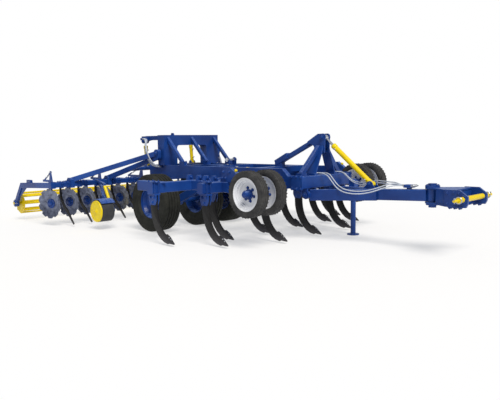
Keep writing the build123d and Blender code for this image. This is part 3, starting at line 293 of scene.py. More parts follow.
# %% [markdown]
# Tines and shanks are forged spring steel, dipped in thin black paint. Soil scours the paint off the
# lowest part first, so the tip is bare grey steel and the paint above it is scratched. The height of the
# surface above the ground drives that wear, broken up by a noise so that its edge is ragged.
# %% Black paint on spring steel
def scoured_black(name, bare_height, painted_height):
    """Black dip paint that soil has scoured off below bare_height and left above painted_height."""
    paint, shader = start_material(name, Specular_IOR_Level=0.2)
    place = add_node(paint, "ShaderNodeTexCoord")
    spot = add_node(paint, "ShaderNodeSeparateXYZ", None, {"Vector": place.outputs["Object"]})
    ragged = add_node(paint, "ShaderNodeTexNoise", None, {
        "Vector": place.outputs["Object"],
        "Scale": 35.0,             # scratches and chips about 30 mm long
        "Detail": 8.0,
        "Roughness": 0.75,
    })
    height = add_node(paint, "ShaderNodeMath", {"operation": "MULTIPLY_ADD"}, {
        0: ragged.outputs["Fac"],
        1: 0.16,
        2: spot.outputs["Z"],
    })
    worn = add_node(paint, "ShaderNodeMapRange", None, {
        "Value": height.outputs["Value"],
        "From Min": bare_height + 0.08,
        "From Max": painted_height + 0.08,
        "To Min": 1.0,
        "To Max": 0.0,
    })
    shade = add_node(paint, "ShaderNodeValToRGB", None, {"Fac": ragged.outputs["Fac"]})
    shade.color_ramp.elements[0].position = 0.3
    shade.color_ramp.elements[0].color = srgb("121213")
    shade.color_ramp.elements[1].position = 0.75
    shade.color_ramp.elements[1].color = srgb("262627")
    coloured = add_node(paint, "ShaderNodeMix", {"data_type": "RGBA"}, {
        0: worn.outputs["Result"],
        6: shade.outputs["Color"],
        7: srgb("4c4b4e"),
    })
    metal = add_node(paint, "ShaderNodeMath", {"operation": "MULTIPLY"}, {
        0: worn.outputs["Result"],
        1: 0.8,
    })
    rough = add_node(paint, "ShaderNodeMapRange", None, {
        "Value": ragged.outputs["Fac"],
        "To Min": 0.34,
        "To Max": 0.62,
    })
    chips = add_node(paint, "ShaderNodeBump", None, {
        "Strength": 0.25,
        "Distance": 0.002,
        "Height": ragged.outputs["Fac"],
    })
    links = paint.node_tree.links
    links.new(coloured.outputs[2], shader.inputs["Base Color"])
    links.new(metal.outputs["Value"], shader.inputs["Metallic"])
    links.new(rough.outputs["Result"], shader.inputs["Roughness"])
    links.new(chips.outputs["Normal"], shader.inputs["Normal"])
    return paint


tine_paint = scoured_black("black_paint_on_spring_steel", 0.06, 0.22)
rear_tine_paint = scoured_black("black_paint_on_narrow_tines", 0.06, 0.20)

# %% [markdown]
# A tyre is carbon-filled rubber, moulded and dull. Farm dust lodges in it as a warm grey veil, thicker in
# hollows than on the ribs. The drum of the depth wheel is plain smooth rubber without a tread.
# %% Rubber
def rubber(name, clean, dusty, dusty_share, roughness):
    """Moulded black rubber with a veil of dust."""
    skin, shader = start_material(name, IOR=1.5, Specular_IOR_Level=0.2)
    place = add_node(skin, "ShaderNodeTexCoord")
    veil = add_node(skin, "ShaderNodeTexNoise", None, {
        "Vector": place.outputs["Object"],
        "Scale": 9.0,              # patches of about 110 mm
        "Detail": 7.0,
        "Roughness": 0.65,
    })
    share = add_node(skin, "ShaderNodeMapRange", None, {
        "Value": veil.outputs["Fac"],
        "From Min": 0.35,
        "From Max": 0.75,
        "To Max": dusty_share,
    })
    coloured = add_node(skin, "ShaderNodeMix", {"data_type": "RGBA"}, {
        0: share.outputs["Result"],
        6: srgb(clean),
        7: srgb(dusty),
    })
    grain = add_node(skin, "ShaderNodeTexNoise", None, {
        "Vector": place.outputs["Object"],
        "Scale": 160.0,            # moulded grain is 1 mm, drawn as 6 mm so that it shows
        "Detail": 3.0,
    })
    rough = add_node(skin, "ShaderNodeMapRange", None, {
        "Value": veil.outputs["Fac"],
        "To Min": roughness - 0.1,
        "To Max": roughness + 0.15,
    })
    bump = add_node(skin, "ShaderNodeBump", None, {
        "Strength": 0.2,
        "Distance": 0.001,
        "Height": grain.outputs["Fac"],
    })
    links = skin.node_tree.links
    links.new(coloured.outputs[2], shader.inputs["Base Color"])
    links.new(rough.outputs["Result"], shader.inputs["Roughness"])
    links.new(bump.outputs["Normal"], shader.inputs["Normal"])
    return skin


tyre_rubber = rubber("tyre_rubber", "1a1c1a", "4c4d46", 0.35, 0.72)
gauge_rubber = rubber("gauge_tyre_rubber", "2c2d2f", "636261", 0.45, 0.70)
drum_rubber = rubber("drum_rubber", "33363a", "5c5d5e", 0.35, 0.6)
hose_rubber = rubber("pale_hose_rubber", "b9c2cf", "8f98a6", 0.4, 0.45)

# %% [markdown]
# The discs are rolled boron steel, hardened and shipped with a thin clear lacquer: blue-grey, half
# bright, with the marks of rolling. Piston rods are ground and hard-chromed, so they mirror the sky.
# Bolts and couplers are zinc-plated, a soft grey metal with a faint mottle.
# %% Bare and plated metals
def bare_metal(name, light, dark, patch, roughness, spread):
    """Bare or plated metal: two close greys in patches, with an uneven polish."""
    metal, shader = start_material(name, Metallic=0.9)
    place = add_node(metal, "ShaderNodeTexCoord")
    mottle = add_node(metal, "ShaderNodeTexNoise", None, {
        "Vector": place.outputs["Object"],
        "Scale": patch,
        "Detail": 5.0,
        "Roughness": 0.6,
    })
    shade = add_node(metal, "ShaderNodeValToRGB", None, {"Fac": mottle.outputs["Fac"]})
    shade.color_ramp.elements[0].position = 0.3
    shade.color_ramp.elements[0].color = srgb(dark)
    shade.color_ramp.elements[1].position = 0.7
    shade.color_ramp.elements[1].color = srgb(light)
    rough = add_node(metal, "ShaderNodeMapRange", None, {
        "Value": mottle.outputs["Fac"],
        "To Min": roughness - spread,
        "To Max": roughness + spread,
    })
    links = metal.node_tree.links
    links.new(shade.outputs["Color"], shader.inputs["Base Color"])
    links.new(rough.outputs["Result"], shader.inputs["Roughness"])
    return metal


disc_steel = bare_metal("hardened_disc_steel", "8b92a8", "4a4f60", 14.0, 0.32, 0.12)
chrome = bare_metal("hard_chrome", "dfe3e8", "c9ced6", 30.0, 0.12, 0.05)
zinc = bare_metal("zinc_plated_steel", "c3c7cc", "9da2a9", 60.0, 0.4, 0.1)

# %% [markdown]
# Each solid of the machine keeps its shape and gets the finish that the record names for it. The record's
# slot name is the key, so a short table is enough for all of them.
# %% Finishes on the solids
SLOT_FINISH = {
    "blue_paint": blue_enamel,
    "yellow_paint": yellow_enamel,
    "white_paint": white_enamel,
    "black_steel": tine_paint,
    "tyre_rubber": tyre_rubber,
    "drum_rubber": drum_rubber,
    "disc_steel": disc_steel,
    "chrome_rod": chrome,
}
OWN_FINISH = {
    "rear_tines": rear_tine_paint,
    "gauge_tyres_left": gauge_rubber,
    "gauge_tyres_right": gauge_rubber,
}

for subpart in frame["record"]["subparts"]:
    name = subpart["node"]
    finish = OWN_FINISH.get(name, SLOT_FINISH[subpart["material_slot"]])
    for holder in nodes[name].material_slots:
        holder.material = finish

# %% [markdown]
# The small parts are bolted, turned or cut from plate, so a few helpers make all of them. Each helper adds
# one shape to an open bmesh: a spun outline for what a lathe turns, a box with rounded edges for plate, and
# a low hexagon on a washer for a bolt. One last helper closes the bmesh and ties the piece to its body.
# %% Helpers for turned, cut and bolted pieces
def finish_piece(mesh, name, body, finish, crease=35):
    """Closes a bmesh into a piece with outward normals and crisp edges, and lets it ride on a body."""
    bmesh.ops.remove_doubles(mesh, verts=mesh.verts, dist=0.00001)
    bmesh.ops.recalc_face_normals(mesh, faces=mesh.faces)
    data = bpy.data.meshes.new(name)
    mesh.to_mesh(data)
    mesh.free()
    data.materials.append(finish)
    data.shade_smooth()
    data.set_sharp_from_angle(angle=radians(crease))
    piece = bpy.data.objects.new(name, data)
    bpy.context.scene.collection.objects.link(piece)
    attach(piece, body)
    return piece


def turned(mesh, outline, centre, axis, steps, closed=True):
    """Spins an outline of (along, out) pairs, in metres, about an axis through centre."""
    middle = Vector(centre)
    along = Vector(axis).normalized()
    out = along.orthogonal().normalized()
    points = [mesh.verts.new(middle + along * a + out * r) for a, r in outline]
    following = points[1:] + points[:1] if closed else points[1:]
    edges = [mesh.edges.new(pair) for pair in zip(points, following)]
    bmesh.ops.spin(
        mesh, geom=points + edges, cent=middle, axis=along, angle=2 * pi, steps=steps, use_merge=True
    )


def pin(mesh, start, end, radius, steps=12, chamfer=0.002):
    """A round bar between two points, with its ends chamfered."""
    run = Vector(end) - Vector(start)
    cut = min(chamfer, radius / 2)
    outline = ((0, 0), (0, radius - cut), (cut, radius), (run.length - cut, radius),
               (run.length, radius - cut), (run.length, 0))
    turned(mesh, outline, start, run, steps, closed=False)


def block(mesh, low, high, edge=0.003, turn=None):
    """A box between two corners with its edges rounded, turned by a matrix where one is given."""
    a, b = Vector(low), Vector(high)
    place = Matrix.Translation((a + b) / 2) @ Matrix.Diagonal((*(b - a), 1))
    made = bmesh.ops.create_cube(mesh, size=1, matrix=(turn or Matrix()) @ place)
    sides = list({side for corner in made["verts"] for side in corner.link_edges})
    bmesh.ops.bevel(
        mesh, geom=sides, offset=edge, offset_type="OFFSET", segments=1, profile=0.5,
        affect="EDGES", material=-1,
    )


def hex_bolt(mesh, place, axis, across, proud, washer=True):
    """A hexagon head, across its flats, on a washer, standing proud of place along axis."""
    aim = Vector((0, 0, 1)).rotation_difference(Vector(axis)).to_matrix().to_4x4()
    seat = Matrix.Translation(place) @ aim
    rise = 0.0
    if washer:
        rise = proud * 0.2
        bmesh.ops.create_cone(
            mesh, cap_ends=True, segments=14, radius1=across * 0.95, radius2=across * 0.9,
            depth=rise * 1.2, matrix=seat @ Matrix.Translation((0, 0, rise * 0.4)),
        )
    head = proud * 0.62
    bmesh.ops.create_cone(
        mesh, cap_ends=True, segments=6, radius1=across * 0.577, radius2=across * 0.577,
        depth=head, matrix=seat @ Matrix.Translation((0, 0, rise + head / 2)),
    )
    bmesh.ops.create_cone(
        mesh, cap_ends=True, segments=12, radius1=across * 0.5, radius2=across * 0.36,
        depth=proud * 0.2, matrix=seat @ Matrix.Translation((0, 0, rise + head + proud * 0.09)),
    )


def around(centre, axis, radius, count, lift=0.0, turn=0.0):
    """The places of count bolts on a circle about an axis, each lifted along that axis."""
    along = Vector(axis).normalized()
    out = along.orthogonal().normalized()
    other = along.cross(out)
    for number in range(count):
        angle = 2 * pi * number / count + turn
        yield Vector(centre) + along * lift + (out * cos(angle) + other * sin(angle)) * radius


SIDES = (("right", -1), ("left", 1))
print("helpers ready")

# %% [markdown]
# The places below repeat the named sizes of the solids, in metres. Every later piece is placed from them,
# so a bolt always sits on the face that carries it.
# %% Places on the machine
AXLE_X = -0.809
FRONT_BEAM_X = AXLE_X + 2.790
KINGPIN_X = AXLE_X + 4.780
HITCH_X = AXLE_X + 5.380
HITCH_Z = 0.831
DISC_BEAM_X = AXLE_X - 1.950
DISC_X = AXLE_X - 2.200
ROLLER_X = AXLE_X - 3.600
RAIL_Y = 0.621
RAIL_TOP = 1.190
BEAM_TOP = 1.000                   # tops and bottoms of the beams that carry tines
BEAM_BOTTOM = 0.830
TINE_PITCH = 0.450
TINE_ROWS = (                      # station of a row, and its places in tine pitches
    (AXLE_X + 2.270, (-2, 0, 2)),
    (AXLE_X + 1.840, (-4, 4)),
    (AXLE_X + 1.500, (-3, -1, 1, 3)),
    (AXLE_X + 1.080, (-5, 5)),
)
DISC_PITCH = 0.400
DISC_STEPS = (-6, -5, -4, -3, -2, -1, 1, 2, 3, 4, 5, 6)
print("tines:", sum(len(places) for _, places in TINE_ROWS), "discs:", len(DISC_STEPS))

# %% [markdown]
# The transport tyres are the ribbed kind that farm trailers and implements roll on: five ribs, four
# grooves between them, square shoulders, and a sidewall that bulges and has raised rings. A tyre is the
# same all the way round, so its cross-section is drawn once and spun about the axle.
# %% Ribbed transport tyres
TYRE_RADIUS = 0.535
TYRE_HALF = 0.190                  # half the width
RIM_RADIUS = 0.285
RIBS = 5
GROOVE_DEPTH = 0.014


def tyre_outline(radius, half, rim_radius, ribs, groove, depth):
    """Cross-section of a ribbed tyre: bead, bulged sidewall with two rings, shoulder and grooved tread."""
    middle = (radius + rim_radius) / 2
    wall = (
        (half * 0.72, rim_radius),
        (half * 0.80, rim_radius + 0.010),
        (half * 0.86, rim_radius + 0.022),
        (half * 0.915, rim_radius + 0.034),
        (half * 0.935, rim_radius + 0.040),
        (half * 0.925, rim_radius + 0.045),
        (half * 0.975, middle - (middle - rim_radius) * 0.30),
        (half, middle),
        (half * 0.99, middle + (radius - middle) * 0.30),
        (half * 0.975, radius - 0.055),
        (half * 0.99, radius - 0.049),
        (half * 0.97, radius - 0.043),
        (half * 0.925, radius - 0.024),
        (half * 0.875, radius - 0.012),
        (half * 0.80, radius - 0.004),
    )
    tread = half * 0.80
    pitch = 2 * tread / ribs
    top = []
    for number in range(1, ribs):
        middle_along = tread - number * pitch
        drop = 0.004 * (middle_along / tread) ** 2
        top += [
            (middle_along + groove / 2, radius - drop),
            (middle_along + groove / 3, radius - depth),
            (middle_along - groove / 3, radius - depth),
            (middle_along - groove / 2, radius - drop),
        ]
    return (*wall, *top, *((-along, out) for along, out in reversed(wall)))


for side_name, side in SIDES:
    for place, wheel_y in (("outer", 1.430), ("inner", 0.362)):
        tyre_mesh = bmesh.new()
        outline = tyre_outline(TYRE_RADIUS, TYRE_HALF, RIM_RADIUS, RIBS, 0.016, GROOVE_DEPTH)
        turned(tyre_mesh, outline, (AXLE_X, side * wheel_y, TYRE_RADIUS), (0, 1, 0), 80)
        tyre = finish_piece(
            tyre_mesh, f"ribbed_tyre_{place}_{side_name}", f"wheel_{place}_{side_name}",
            tyre_rubber, 40,
        )
        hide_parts(f"tyre_{place}_{side_name}")
print("transport tyre faces:", len(tyre.data.polygons))

# %% [markdown]
# The gauge wheels have narrower tyres with a row of lugs on each shoulder. The ribs are spun as before,
# and the lugs are short rounded blocks, turned round the axle one by one.
# %% Gauge wheel tyres with shoulder lugs
GAUGE_X = AXLE_X + 2.650
GAUGE_Z = 0.850
GAUGE_RADIUS = 0.362
GAUGE_HALF = 0.086
GAUGE_RIM = 0.245
GAUGE_ARM_Y = 1.450
GAUGE_OFFSET = 0.205
LUGS = 40
for side_name, side in SIDES:
    tyre_mesh = bmesh.new()
    for facing in (-1, 1):
        hub = Vector((GAUGE_X, side * GAUGE_ARM_Y + facing * GAUGE_OFFSET, GAUGE_Z))
        outline = tyre_outline(GAUGE_RADIUS - 0.003, GAUGE_HALF, GAUGE_RIM, 4, 0.010, 0.010)
        turned(tyre_mesh, outline, hub, (0, 1, 0), 72)
        for number in range(LUGS):
            spin = Matrix.Translation(hub) @ Matrix.Rotation(2 * pi * number / LUGS, 4, "Y")
            for shoulder in (-1, 1):
                near, far = sorted((shoulder * 0.052, shoulder * 0.080))
                block(
                    tyre_mesh, (-0.0085, near, GAUGE_RADIUS - 0.026), (0.0085, far, GAUGE_RADIUS - 0.001),
                    0.003, spin,
                )
    tyre = finish_piece(
        tyre_mesh, f"lugged_tyres_{side_name}", f"gauge_wheels_{side_name}", gauge_rubber, 40
    )
    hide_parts(f"gauge_tyres_{side_name}")
print("gauge tyre faces:", len(tyre.data.polygons))

# %% [markdown]
# A gauge wheel's rim is pressed from sheet steel: a rolled lip, a bead seat, a well and a deep disc in the
# middle, all sprayed white. Seen from the side it reads as bright rings around a shaded dish. The disc sits
# nearer the arm, so the outward dish is the deep one, as on a real wheel with its offset.
# %% White pressed rims
RIM_OUTLINE = (                    # from the outward bead round the deep face and back up the other face
    (0.0600, 0.2445), (0.0725, 0.2575), (0.0755, 0.2545), (0.0700, 0.2425), (0.0500, 0.2370),
    (0.0455, 0.2250), (0.0440, 0.2130), (0.0120, 0.2080), (0.0080, 0.1980), (0.0070, 0.1880),
    (-0.0180, 0.1840), (-0.0240, 0.1740), (-0.0240, 0.1400), (-0.0190, 0.1230), (-0.0180, 0.0900),
    (-0.0180, 0.0352),
    (-0.0330, 0.0352), (-0.0330, 0.1250), (-0.0370, 0.1400), (-0.0370, 0.1850), (-0.0420, 0.2050),
    (-0.0480, 0.2130), (-0.0520, 0.2290), (-0.0560, 0.2350), (-0.0620, 0.2375), (-0.0700, 0.2425),
    (-0.0755, 0.2545), (-0.0725, 0.2575), (-0.0600, 0.2445),
)
for side_name, side in SIDES:
    rim_mesh = bmesh.new()
    for facing in (-1, 1):
        hub = Vector((GAUGE_X, side * GAUGE_ARM_Y + facing * GAUGE_OFFSET, GAUGE_Z))
        turned(rim_mesh, RIM_OUTLINE, hub, (0, facing, 0), 72)
        # Valve stem in the well
        for way in (-1, 1):
            foot = hub + Vector((0.0, way * 0.030, 0.206))
            pin(rim_mesh, foot, foot + Vector((0.0, way * 0.034, -0.012)), 0.005, 8)
    rim = finish_piece(
        rim_mesh, f"pressed_rims_{side_name}", f"gauge_wheels_{side_name}", white_enamel, 30
    )
    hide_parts(f"gauge_rims_{side_name}")
print("rim faces:", len(rim.data.polygons))

# %% [markdown]
# Each rim is held by six studs on a blue hub. The long studs and the domed cap catch the light like a dark
# star in the white dish, so they are made as real shapes: a turned hub, then studs and nuts round it.
# %% Blue hubs of the gauge wheels
DISH = -0.018                      # the disc's outward face, from the wheel's middle
BACK = 0.033                       # the disc's other face
HUB_FACE = (
    (0.0, 0.080), (0.018, 0.080), (0.024, 0.074), (0.024, 0.058), (0.080, 0.052), (0.086, 0.050),
    (0.112, 0.048), (0.120, 0.040), (0.124, 0.022), (0.125, 0.0),
)
STUD_CIRCLE = 0.102                # radius of the wheel studs' circle
CAP_CIRCLE = 0.066                 # radius of the hub cap's screws
HUB_BACK = ((0.0, 0.080), (0.018, 0.080), (0.024, 0.074), (0.024, 0.058), (0.050, 0.052), (0.050, 0.036))
for side_name, side in SIDES:
    hub_mesh = bmesh.new()
    for facing in (-1, 1):
        hub = Vector((GAUGE_X, side * GAUGE_ARM_Y + facing * GAUGE_OFFSET, GAUGE_Z))
        front = hub + Vector((0, facing * DISH, 0))
        rear = hub - Vector((0, facing * BACK, 0))
        turned(hub_mesh, HUB_FACE, front, (0, facing, 0), 32, closed=False)
        turned(hub_mesh, HUB_BACK, rear, (0, -facing, 0), 32, closed=False)
        for seat, way in ((front, facing), (rear, -facing)):
            for stud in around(seat, (0, way, 0), STUD_CIRCLE, 6):
                hex_bolt(hub_mesh, stud, (0, way, 0), 0.028, 0.020)
                pin(hub_mesh, stud, stud + Vector((0, way * 0.036, 0)), 0.008, 8)
            for stud in around(seat, (0, way, 0), CAP_CIRCLE, 6, 0.024, 0.5):
                hex_bolt(hub_mesh, stud, (0, way, 0), 0.017, 0.012, False)
    finish_piece(hub_mesh, f"gauge_hubs_{side_name}", f"gauge_wheels_{side_name}", blue_enamel)
print("gauge hubs made")

# %% [markdown]
# The transport wheels carry the machine on the road, so their hubs are truck size: ten nuts on a wide
# circle and a grease cap over the bearing.
# %% Wheel nuts and grease caps of the transport wheels
for side_name, side in SIDES:
    for place, wheel_y in (("outer", 1.430), ("inner", 0.362)):
        facing = side if place == "outer" else -side
        hub = Vector((AXLE_X, side * wheel_y, TYRE_RADIUS))
        nut_mesh = bmesh.new()
        for stud in around(hub, (0, facing, 0), 0.135, 10, 0.034):
            hex_bolt(nut_mesh, stud, (0, facing, 0), 0.032, 0.026)
        cap = ((0.088, 0.070), (0.096, 0.070), (0.100, 0.062), (0.128, 0.056), (0.140, 0.046), (0.146, 0.020),
               (0.147, 0.0))
        turned(nut_mesh, cap, hub, (0, facing, 0), 28, closed=False)
        finish_piece(nut_mesh, f"wheel_nuts_{place}_{side_name}", f"wheel_{place}_{side_name}",
                     blue_enamel)
print("transport hubs made")

# %% [markdown]
# A tine hangs from its beam in a clamp: a plate on top of the beam, four long bolts down both sides, and a
# nut under each corner. Two more bolts go through the cheeks and the shank, and two hold the share.
# %% Clamp plates and bolts of the tines
clamp_mesh = bmesh.new()
for row_x, places in TINE_ROWS:
    for step in places:
        y = step * TINE_PITCH
        block(clamp_mesh, (row_x - 0.093, y - 0.056, BEAM_TOP), (row_x + 0.093, y + 0.056, BEAM_TOP + 0.016))
        for x in (row_x - 0.078, row_x + 0.078):
            for across in (y - 0.040, y + 0.040):
                pin(clamp_mesh, (x, across, BEAM_BOTTOM - 0.004), (x, across, BEAM_TOP + 0.044), 0.009)
                hex_bolt(clamp_mesh, (x, across, BEAM_TOP + 0.016), (0, 0, 1), 0.028, 0.020)
finish_piece(clamp_mesh, "tine_clamp_plates", "frame", blue_enamel)

bolt_mesh = bmesh.new()
for row_x, places in TINE_ROWS:
    for step in places:
        y = step * TINE_PITCH
        for way in (-1, 1):
            for x, z in ((-0.050, 0.765), (0.050, 0.765), (0.0, 0.685)):
                hex_bolt(bolt_mesh, (row_x + x, y + way * 0.038, z), (0, way, 0), 0.034, 0.022)
finish_piece(bolt_mesh, "tine_cheek_bolts", "frame", blue_enamel)
print("clamps made")

# %% [markdown]
# A chisel tine is one forging: a deep flat shank that sweeps forward into a slim foot. Its side outline is
# laid out once as a run of corners, filled, pulled to the bar's thickness, and its edges are rounded. The
# share is a second, wider bar whose front corners are drawn in to a point.
# %% Chisel tines
SHANK_HALF = 0.018
SHARE_HALF = 0.034
TIP_Z = 0.040                      # the point's height above the ground


def flat_bar(mesh, outline, row_x, y, half, edge, point_x=None, point_half=0.0):
    """Fills a side outline at y, pulls it to its thickness, draws its point in and rounds its edges."""
    corners = [mesh.verts.new((row_x + x, y - half, z)) for x, z in outline]
    face = mesh.faces.new(corners)
    made = bmesh.ops.extrude_face_region(mesh, geom=[face])
    moved = [item for item in made["geom"] if isinstance(item, bmesh.types.BMVert)]
    bmesh.ops.translate(mesh, verts=moved, vec=(0, 2 * half, 0))
    for corner in corners + moved:
        if point_x is not None and corner.co.x > row_x + point_x:
            corner.co.y = y + (point_half if corner.co.y > y else -point_half)
    sides = {edge_line for corner in corners + moved for edge_line in corner.link_edges}
    rim = [line for line in sides if abs(line.verts[0].co.y - line.verts[1].co.y) < half]
    bmesh.ops.bevel(
        mesh, geom=rim, offset=edge, offset_type="OFFSET", segments=2, profile=0.5,
        affect="EDGES", material=-1,
    )


SHANK_OUTLINE = (                  # down the back edge, round the point and up the front edge
    (-0.075, 0.800), (-0.075, 0.600), (-0.070, 0.510), (-0.050, 0.415), (-0.014, 0.320), (0.038, 0.230),
    (0.104, TIP_Z + 0.110), (0.180, TIP_Z + 0.048), (0.262, TIP_Z + 0.008), (0.345, TIP_Z - 0.010),
    (0.430, TIP_Z + 0.030), (0.300, TIP_Z + 0.118), (0.246, TIP_Z + 0.158), (0.198, TIP_Z + 0.206),
    (0.158, TIP_Z + 0.260), (0.126, 0.360), (0.102, 0.425), (0.086, 0.495), (0.077, 0.570),
    (0.075, 0.640), (0.075, 0.800),
)
SHARE_OUTLINE = (
    (0.270, TIP_Z + 0.118), (0.296, TIP_Z + 0.142), (0.370, TIP_Z + 0.104),
    (0.500, TIP_Z + 0.010), (0.496, TIP_Z - 0.004), (0.420, TIP_Z + 0.006),
)
tine_mesh = bmesh.new()
for row_x, places in TINE_ROWS:
    for step in places:
        flat_bar(tine_mesh, SHANK_OUTLINE, row_x, step * TINE_PITCH, SHANK_HALF, 0.004)
        flat_bar(tine_mesh, SHARE_OUTLINE, row_x, step * TINE_PITCH, SHARE_HALF, 0.003, 0.46, 0.012)
chisel_tines = finish_piece(tine_mesh, "chisel_tines", "frame", tine_paint, 28)
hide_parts("tines")
print("tine faces:", len(chisel_tines.data.polygons))

# %% [markdown]
# The share is a wearing part, so two plough bolts with round heads hold it and it can be changed in the
# field. Their heads sit in line on the share's sloping face.
# %% Plough bolts
share_mesh = bmesh.new()
slope = Vector((-0.130, 0, 0.098)).normalized()
out_of_face = Vector((0.098, 0, 0.130)).normalized()
for row_x, places in TINE_ROWS:
    for step in places:
        face = Vector((row_x + 0.370, step * TINE_PITCH, TIP_Z + 0.104)) - slope * 0.010
        for run in (-0.052, 0.0):
            place = face + slope * run
            pin(share_mesh, place - out_of_face * 0.012, place + out_of_face * 0.007, 0.012, 10, 0.004)
finish_piece(share_mesh, "share_bolts", "frame", zinc)
print("shares bolted")

# %% [markdown]
# The outermost tine on each side hangs beyond the wing's end, on a short stub of the same box beam. It is
# a hollow section closed with an end plate, and two gussets stiffen the corner behind it.
# %% Stub beams for the outermost tines
STUB_X = TINE_ROWS[3][0]
stub_mesh = bmesh.new()
for side_name, side in SIDES:
    low, high = sorted((side * 2.070, side * 2.318))
    block(stub_mesh, (STUB_X - 0.065, low, BEAM_BOTTOM), (STUB_X + 0.065, high, BEAM_TOP), 0.006)
    low, high = sorted((side * 2.318, side * 2.328))
    end_plate = (STUB_X - 0.075, low, BEAM_BOTTOM - 0.008)
    block(stub_mesh, end_plate, (STUB_X + 0.075, high, BEAM_TOP + 0.008), 0.003)
    for way in (-1, 1):
        corner = Vector((STUB_X + way * 0.064, side * 2.078, 0.986))
        leg_out = corner + Vector((0, side * 0.075, 0))
        leg_along = corner + Vector((way * 0.075, 0, 0))
        gusset = [stub_mesh.verts.new(place) for place in (corner, leg_out, leg_along)]
        face = stub_mesh.faces.new(gusset)
        made = bmesh.ops.extrude_face_region(stub_mesh, geom=[face])
        risen = [item for item in made["geom"] if isinstance(item, bmesh.types.BMVert)]
        bmesh.ops.translate(stub_mesh, verts=risen, vec=(0, 0, 0.012))
finish_piece(stub_mesh, "wing_stub_beams", "frame", blue_enamel)
print("stubs reach y =", 2.328)

# %% [markdown]
# Bolts show how the frame comes apart. The end flanges of the front beam, the feet of the gantry's braces,
# the wings' brackets and the bearing plates each have a pattern of them, listed here plate by plate.
# %% Bolts of the frame
WING_LUGS = (1.030, 1.280, 1.460, 1.660)
frame_bolts = bmesh.new()
for side_name, side in SIDES:
    # Front beam's end flanges
    for dx, dz in (
        (-0.095, -0.095), (-0.095, 0.095), (0.095, -0.095), (0.095, 0.095), (0, 0.098), (0, -0.098),
    ):
        hex_bolt(frame_bolts, (FRONT_BEAM_X + dx, side * 0.692, 0.970 + dz), (0, side, 0), 0.030, 0.020)
    # Pads of the braces
    for pad_y in (-RAIL_Y, 0.0, RAIL_Y):
        for x in (-0.218, -0.112):
            seat = (AXLE_X + x, pad_y - side * 0.030, RAIL_TOP + 0.075)
            hex_bolt(frame_bolts, seat, (0, 0, 1), 0.026, 0.018)
    # Lugs on the wing: a pin through each, with a nut on both ends
    for station in WING_LUGS:
        x = AXLE_X + station
        arm_y = side * GAUGE_ARM_Y
        pin(frame_bolts, (x - 0.046, arm_y, 1.052), (x + 0.046, arm_y, 1.052), 0.017)
        for way in (-1, 1):
            hex_bolt(frame_bolts, (x + way * 0.028, side * GAUGE_ARM_Y, 1.052), (way, 0, 0), 0.040, 0.026)
    # Bearing plate of the axle's torque tube
    for x in (0.600, 0.680, 0.820, 0.900):
        hex_bolt(frame_bolts, (AXLE_X + x, side * 0.671, 0.925), (0, side, 0), 0.030, 0.020)
    # Bracket of the gauge wheels
    for x, z in ((1.900, 1.060), (1.980, 1.060), (1.930, 1.160), (2.060, 1.160)):
        for way in (-1, 1):
            seat = (AXLE_X + x, side * GAUGE_ARM_Y + way * 0.040, z)
            hex_bolt(frame_bolts, seat, (0, way, 0), 0.034, 0.022)
    # Hinge pins of the drawbar
    hex_bolt(frame_bolts, (AXLE_X + 2.850, side * 0.560, 0.760), (0, side, 0), 0.052, 0.022)
    # Pivot pins of the draft arms, and top pins of the lift cylinders
    hex_bolt(frame_bolts, (AXLE_X - 0.750, side * 0.860, 1.430), (0, side, 0), 0.060, 0.026)
    for way in (-1, 1):
        hex_bolt(frame_bolts, (AXLE_X - 1.420, side * RAIL_Y + way * 0.070, 1.680), (0, way, 0), 0.038, 0.018)
finish_piece(frame_bolts, "frame_bolts", "frame", blue_enamel)

yellow_mesh = bmesh.new()
for side_name, side in SIDES:
    place = Vector((AXLE_X + 2.165, side * GAUGE_ARM_Y, 1.160))
    turned(yellow_mesh, ((0, 0), (0, 0.020), (0.020, 0.020), (0.024, 0.026), (0.044, 0.026), (0.052, 0.018),
                         (0.054, 0)), place, (0.5, 0, 1), 16, closed=False)
finish_piece(yellow_mesh, "gauge_pin_caps", "frame", yellow_enamel)
print("frame bolted")

# %% [markdown]
# On top of the frame, in front of the axle, stands the stop that limits how far the wheels come down: two
# rounded plates with a bright pin across them. The plates are profiles with a half-round head, extruded.
# %% Depth stop on the frame
def rounded_upright(mesh, low_x, high_x, foot_z, head_z, y, thick):
    """An upright plate with a half-round head, as wide as low_x to high_x."""
    middle, radius = (low_x + high_x) / 2, (high_x - low_x) / 2
    rim = [(low_x, foot_z)]
    rim += [
        (middle - radius * cos(pi * part / 10), head_z - radius + radius * sin(pi * part / 10))
        for part in range(11)
    ]
    rim.append((high_x, foot_z))
    corners = [mesh.verts.new((x, y - thick / 2, z)) for x, z in rim]
    made = bmesh.ops.extrude_face_region(mesh, geom=[mesh.faces.new(corners)])
    moved = [item for item in made["geom"] if isinstance(item, bmesh.types.BMVert)]
    bmesh.ops.translate(mesh, verts=moved, vec=(0, thick, 0))


